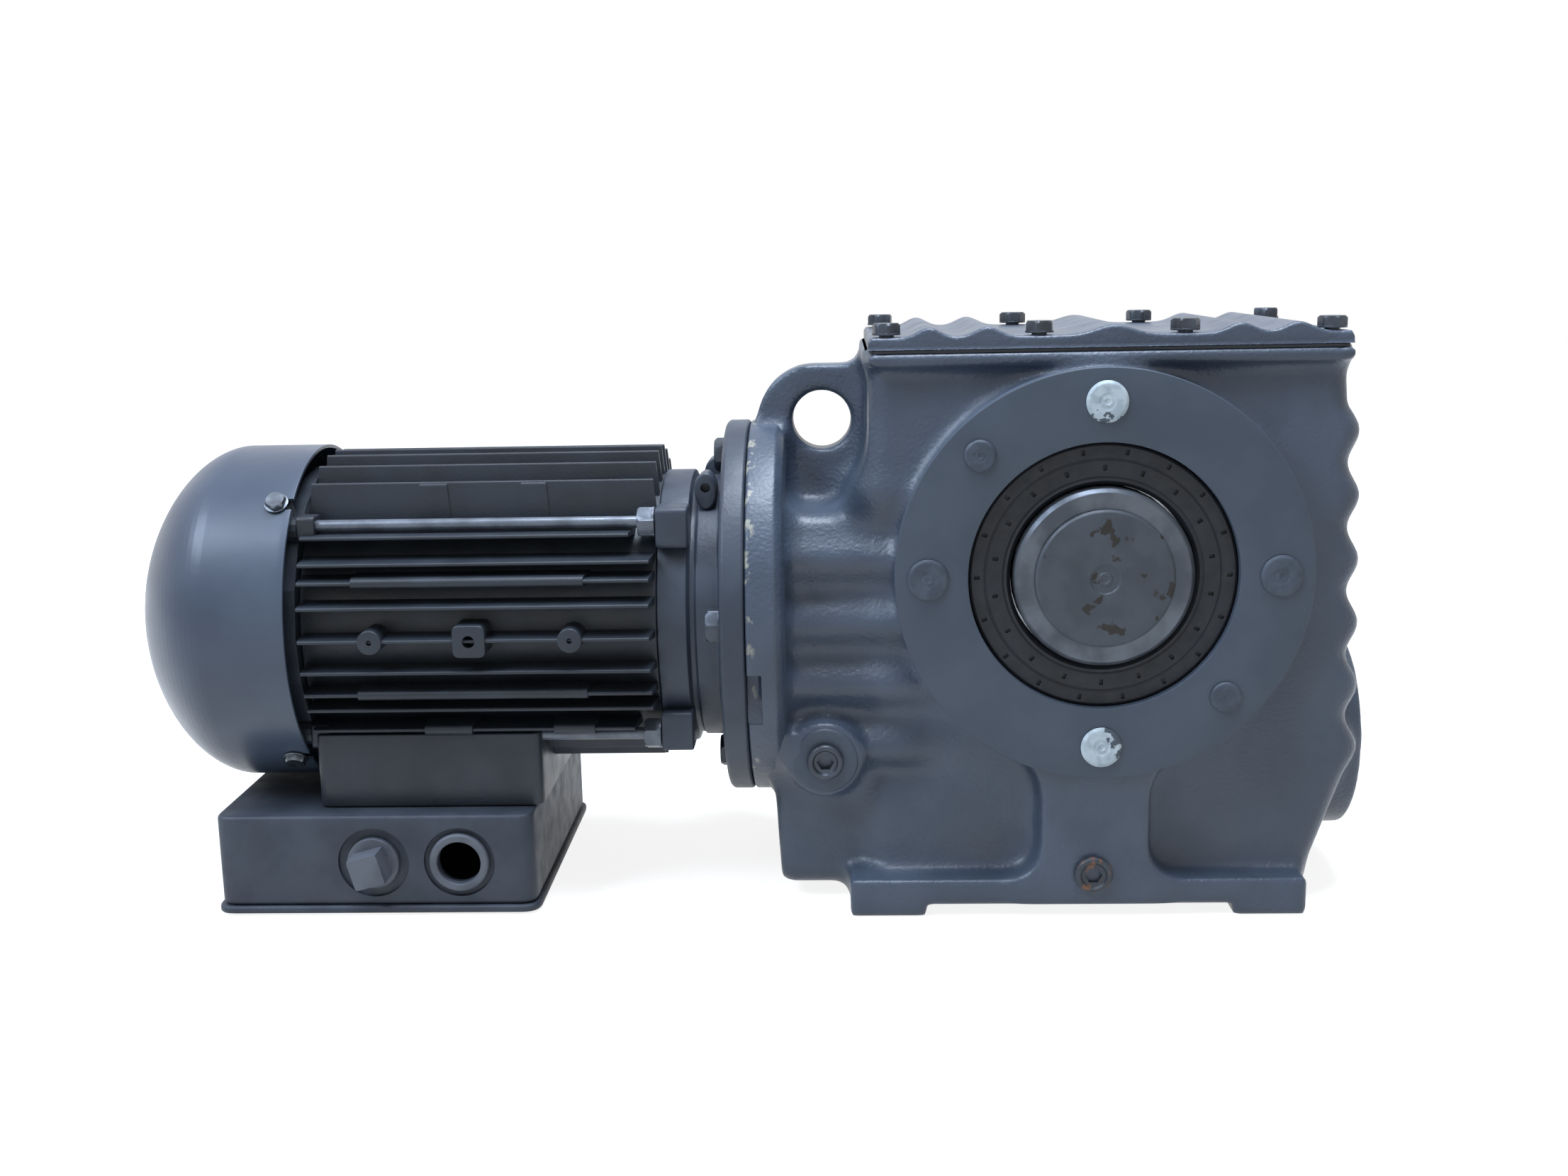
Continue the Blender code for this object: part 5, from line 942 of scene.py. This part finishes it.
# The ring section turned round the motor, with four square lugs for the tie rods and an
# oval boss near its top.
def buildEndshield():
    look = shieldLook
    joint = flangeLook["joint"] - 0.3
    outer = joint - flangeLook["thick"]
    bore, wide, groove, inner = look["boreR"], flangeLook["radius"], look["grooveR"], look["innerR"]
    left, right, rim = look["left"], look["right"], look["ringR"]
    ring = [(bore, -165.3), (bore, -149.7), (22.3, -149.7), (22.3, -142.4), (13.3, -142.4),
            (13.3, right), (48, right), (48, joint), (wide - 1, joint), (wide, joint - 0.8),
            (wide, outer + 1.4), (wide - 1.4, outer), (59.5, outer), (inner, outer - 2.2),
            (inner, -160.5), (groove, -161.2), (groove, -163.4), (rim, -164.2), (rim, left),
            (53.2, left), (53.2, -178.4), (48.5, -178.4), (48.5, -170.4), (31, -162.3), (31, -165.3)]
    shield = rawPiece("frontEndshield", turned(ring, "X", motorAxis, 0.6, 128))
    half = look["block"] / 2
    for across, up in itertools.product((-1, 1), (-1, 1)):
        y, z = across * look["rodY"], layout["motorZ"] + up * look["rodZ"]
        lug = carried(rounded(*sorted((y - across * (half + 4), y + across * half)),
                              *sorted((z - up * (half + 4), z + up * half)), 2.6), left, -163.0, "X", 1.0)
        carve(shield, lug, "UNION")
    angle = np.linspace(0, 2 * np.pi, 40, endpoint=False)
    for side in (-1, 1):
        halfX, halfZ = look["ovalHalf"]
        oval = np.stack([look["ovalX"] + halfX * np.cos(angle), look["ovalZ"] + halfZ * np.sin(angle)], 1)
        low, high = sorted((side * 20, side * 33.5))
        carve(shield, carried(oval, low, high, "Y", 0.9), "UNION")
        holeR = look["holeR"]
        hole = np.stack([look["ovalX"] + holeR * np.cos(angle), look["holeZ"] + holeR * np.sin(angle)], 1)
        low, high = sorted((side * 29, side * 35))
        carve(shield, carried(hole, low, high, "Y", 0.05, 1))
    rods = [peg(2.9, -180, -166, "X", (across * look["rodY"], layout["motorZ"] + up * look["rodZ"]))
            for across, up in itertools.product((-1, 1), (-1, 1))]
    carve(shield, together(*rods))
    dress(shield, shieldEnamel, instead=["front_endshield"])


def buildFlangeBolts():
    look = flangeLook
    for number in range(4):
        turn = math.radians(90 * number - look["boltTurn"])
        centre = (look["boltCircle"] * math.cos(turn), layout["motorZ"] + look["boltCircle"] * math.sin(turn))
        low = look["joint"] - 0.3 - look["thick"] - 0.3
        shape = screwShape(look["boltFlats"], look["boltHead"], look["collarR"], look["shankR"], low,
                           look["reach"], "X", centre, 0.3 + 0.4 * number, -1)
        newPiece(f"flangeBolt{number + 1}", shape, coatedSteel,
                 instead=[f"flange_bolt_{number + 1}"])


# One fin: its half thickness falls from root to tip, its tip is round and its ends lean in.
def finShape(offset, tip, facing, left, right, rootHalf, tipHalf):
    look = frameLook
    inner = math.sqrt(look["rootR"] ** 2 - offset ** 2) - 1.6
    outer = math.sqrt(max(tip ** 2 - offset ** 2, 0))
    turn = np.linspace(-np.pi / 2, np.pi / 2, 7)
    across = np.concatenate([[inner], outer - tipHalf + tipHalf * np.cos(turn), [inner]])
    up = offset + np.concatenate([[-rootHalf], tipHalf * np.sin(turn), [rootHalf]])
    lean = 1.4 * (across - inner) / max(outer - inner, 1)
    ends = [left + lean, right - lean]
    facing = math.radians(facing)
    y = across * math.cos(facing) - up * math.sin(facing)
    z = across * math.sin(facing) + up * math.cos(facing) + layout["motorZ"]
    points = np.vstack([np.stack([end, y, z], 1) for end in ends])
    count = len(across)
    faces = gridFaces(2, count, False, True) + [list(range(count)), list(range(count, 2 * count))]
    return points, faces


def buildMotorFrame():
    look = frameLook
    back, front = look["back"], look["front"]
    drum = [(look["boreR"], back), (look["rootR"], back), (look["rootR"], front), (look["boreR"], front)]
    parts = [turned(drum, "X", motorAxis, 0.5, 128)]
    tip, last, thin = look["tipR"], look["sideFins"][-1], (look["rootHalf"], look["tipHalf"])
    for facing in (0, 180):
        for offset in look["sideFins"]:
            short = abs(offset) == last
            parts.append(finShape(offset, tip, facing, back + 1, front - (9 if short else 0.5), *thin))
            if offset in look["thickFins"]:
                parts.append(finShape(offset, tip + 0.25, facing, *look["thickSpan"], 2.3, look["thickHalf"]))
        for left, right in look["sideLumps"]:
            offset = last if facing == 180 else -last
            parts.append(finShape(offset, tip + 0.7, facing, left, right, 2.6, 2.4))
    for facing, tip in ((90, look["tipR"]), (270, look["tipR"] - look["footDrop"])):
        for offset in look["endFins"]:
            parts.append(finShape(offset, tip, facing, back + 1, front - 0.5, *thin))
            if abs(offset) == look["endFins"][-1]:
                for left, right in look["endLumps"]:
                    parts.append(finShape(offset, tip - 0.4, facing, left, right, 1.9, 1.5))
    frameBody = rawPiece("motorFrame", together(*parts))
    # The frame's darker enamel is painted shade for the grooves between its fins.
    dress(frameBody, finShadedDiecastEnamel, instead=["stator_housing"])
    block = pedestalLook
    outline = rounded(block["left"], block["right"], -block["halfY"], block["halfY"], 5)
    pedestal = rawPiece("leadPedestal", carried(outline, block["low"], block["top"], "Z", 0.8))
    carve(pedestal, peg(57.0, -330, -220, "X", motorAxis, 0.05, 96))
    carve(pedestal, peg(9, 38, 80, "Z", (-273, 0), 0.05, 32))
    dress(pedestal, finShadedDiecastEnamel)
    buildFinBosses()


bossLook = [(-290.4, 5.0, False, 1.1), (-250.4, 6.6, True, 2.5), (-210.0, 5.0, False, 1.1)]


# Screw bosses on the middle fin, each given as its X, its radius or half side, whether it is
# square, and its hole's radius.
def buildFinBosses():
    for side, tag in ((-1, "Front"), (1, "Rear")):
        for number, (x, radius, square, hole) in enumerate(bossLook, 1):
            z = layout["motorZ"]
            low, high = sorted((side * 56, side * 70.8))
            if square:
                outline = rounded(x - radius, x + radius, z - radius, z + radius, 3.0)
                shape = carried(outline, low, high, "Y", 0.6)
            else:
                shape = peg(radius, low, high, "Y", (x, z), 0.7, 40)
            boss = rawPiece(f"finBoss{tag}{number}", shape)
            low, high = sorted((side * 64, side * 75))
            carve(boss, peg(hole, low, high, "Y", (x, z), 0.05, 24))
            dress(boss, finShadedDiecastEnamel)


def buildTieRods():
    look = shieldLook
    for number, (across, up) in enumerate(((-1, 1), (-1, -1), (1, 1), (1, -1)), 1):
        centre = (across * look["rodY"], layout["motorZ"] + up * look["rodZ"])
        rod = peg(2.5, -327.0, -166.4, "X", centre, 0.3, 32)
        nut = flatSided(11.4, -176.6, -183.4, "X", centre, 0.2 * number)
        washer = peg(6.1, -176.5, -177.6, "X", centre, 0.2, 40)
        newPiece(f"tieRod{number}", together(rod, nut, washer), rodSteel,
                 instead=[f"tie_rod_{number}"])
        outline = rounded(*sorted((centre[0] - across * 6, centre[0] + across * 4.4)),
                          *sorted((centre[1] - up * 6, centre[1] + up * 4.4)), 2.2)
        seat = carried(outline, -322.0, -314.5, "X", 0.8)
        newPiece(f"rodSeat{number}", seat, finShadedDiecastEnamel)


buildFlanges()
buildEndshield()
buildFlangeBolts()
buildMotorFrame()
buildTieRods()
print("motor ready")


cowlLook = {"radius": 72.0, "wall": 1.5, "rim": -324.3, "dome": -358.0, "back": -402.5, "power": 1.8,
            "screwX": -330.7, "screwDeg": 47.8, "slots": 10, "slotInner": 12.0, "slotOuter": 36.0,
            "slotWide": 4.5}
boxLook = {"left": -361.0, "right": -229.0, "halfY": 67.0, "low": 4.3, "top": 42.5, "wall": 4.0,
           "corner": 7.0, "entryZ": 22.5, "plugX": -295.6, "openX": -260.0, "plugFlats": 12.6}


# The dome is a superellipse: (along / depth)^p + (radius / R)^p = 1.
def domeLine(radius, depth, steps=26):
    out = np.sin(np.linspace(0, np.pi / 2, steps))
    reach = np.clip(1 - out ** cowlLook["power"], 0, 1) ** (1 / cowlLook["power"])
    return np.stack([radius * out, cowlLook["dome"] - depth * reach], 1)


def buildCowl():
    look = cowlLook
    depth = look["dome"] - look["back"]
    outside = domeLine(look["radius"], depth)
    inside = domeLine(look["radius"] - look["wall"], depth - look["wall"])[::-1]
    rim, wide = look["rim"], look["radius"]
    edge = np.array([(wide, rim - 3.5), (wide, rim), (wide - look["wall"], rim)])
    profile = np.vstack([outside, edge, inside])
    cowl = rawPiece("fanCowl", turned(profile.tolist(), "X", motorAxis, 0.25, 144))
    slots = []
    for number in range(look["slots"]):
        half = look["slotWide"] / 2
        outline = rounded(look["slotInner"], look["slotOuter"], -half, half, 2.2)
        slot = carried(outline + (0, layout["motorZ"]), look["back"] - 3, look["back"] + 13, "X", 0.05, 1)
        slots.append(roundMotor(slot, 360 * number / look["slots"]))
    carve(cowl, together(*slots))
    seats = []
    for degrees in screwAngles():
        outline = rounded(look["screwX"] - 2.8, look["rim"] + 3, -2.8, 2.8, 2.6)
        seat = carried(outline + (0, layout["motorZ"]), 66, 77, "Y", 0.05, 1)
        seats.append(roundMotor(seat, degrees))
    carve(cowl, together(*seats))
    dress(cowl, sheetEnamel, instead=["fan_cowl"])
    for number, degrees in enumerate(screwAngles(), 1):
        low = look["radius"] + 0.3
        centre = (look["screwX"], layout["motorZ"])
        head = flatSided(7.6, low + 0.5, low + 3.0, "Y", centre, 0.4)
        washer = peg(4.9, low, low + 0.7, "Y", centre, 0.2, 40)
        shank = peg(2.3, 61.3, low + 0.3, "Y", centre, 0.2, 24)
        newPiece(f"cowlScrew{number}", roundMotor(together(head, washer, shank), degrees),
                 zincSteel, instead=[f"cowl_screw_{number}"])


def screwAngles():
    turn = cowlLook["screwDeg"]
    return [turn, 180 - turn, 180 + turn, 360 - turn]


def buildTerminalBox():
    look = boxLook
    outline = rounded(look["left"], look["right"], -look["halfY"], look["halfY"], look["corner"])
    box = rawPiece("terminalBox", carried(outline, look["low"], look["top"], "Z", 1.6, 4))
    wall = look["wall"]
    room = rounded(look["left"] + wall, look["right"] - wall, -look["halfY"] + wall, look["halfY"] - wall, 3)
    carve(box, carried(room, look["low"] - 3, look["top"] - wall, "Z", 0.05, 1))
    face, z = -look["halfY"], look["entryZ"]
    for x in (look["plugX"], look["openX"]):
        carve(box, peg(14.7, face - 3, face + 1.9, "Y", (x, z), 0.5, 64))
        carve(box, peg(9, face - 6, face + 12, "Y", (x, z), 0.05, 48))
    carve(box, peg(9, 36, 46, "Z", (-273, 0), 0.05, 32))
    dress(box, boxEnamel, instead=["terminal_box"])
    ring = [(9.0, face + 2.6), (9.0, face - 1.4), (10.2, face - 1.5), (11.6, face - 1.5),
            (12.3, face - 0.8), (12.3, face + 2.6)]
    newPiece("entryRing", turned(ring, "Y", (look["openX"], z), 0.5, 64), plugEnamel)
    lip = rounded(look["left"] - 1.5, look["right"] + 1.5, -look["halfY"] - 1.5, look["halfY"] + 1.5,
                  look["corner"] + 1)
    newPiece("terminalLid", carried(lip, 1.0, 4.0, "Z", 0.9), boxEnamel,
             instead=["terminal_box_lid"])
    seat = face + 1.7
    centre = (look["plugX"], z)
    head = flatSided(look["plugFlats"], seat - 3, seat - 14, "Y", centre, math.radians(30), 4, 0.3)
    collar = peg(10.7, seat, seat - 3, "Y", centre, 0.5, 64)
    stem = peg(8.7, seat - 1, seat + 9, "Y", centre, 0.4, 48)
    newPiece("blankingPlug", together(head, collar, stem), plugEnamel,
             instead=["blanking_plug"])


buildCowl()
buildTerminalBox()
print("cowl and terminal box ready")


# CAD nodes with no piece of their own here, which only take a finish.
keptNodes = {
    "cover_gasket": nitrile, "rear_endshield": finShadedDiecastEnamel, "terminal_block": blackNylon,
    "fan": blackNylon, "stator_core": corePack, "rotor_core": corePack, "worm_wheel": castBronze,
    "worm_shaft": toothSteel, "helical_gear": toothSteel, "rotor_shaft": toothSteel,
    "motor_oil_seal": nitrile, "output_bearing_front": groundSteel, "output_bearing_rear": groundSteel,
    "worm_bearing_input": groundSteel, "worm_bearing_end": groundSteel,
    "motor_bearing_front": groundSteel, "motor_bearing_rear": groundSteel,
}
for name, look in keptNodes.items():
    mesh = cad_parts[name].data
    mesh.materials.clear()
    mesh.materials.append(look)
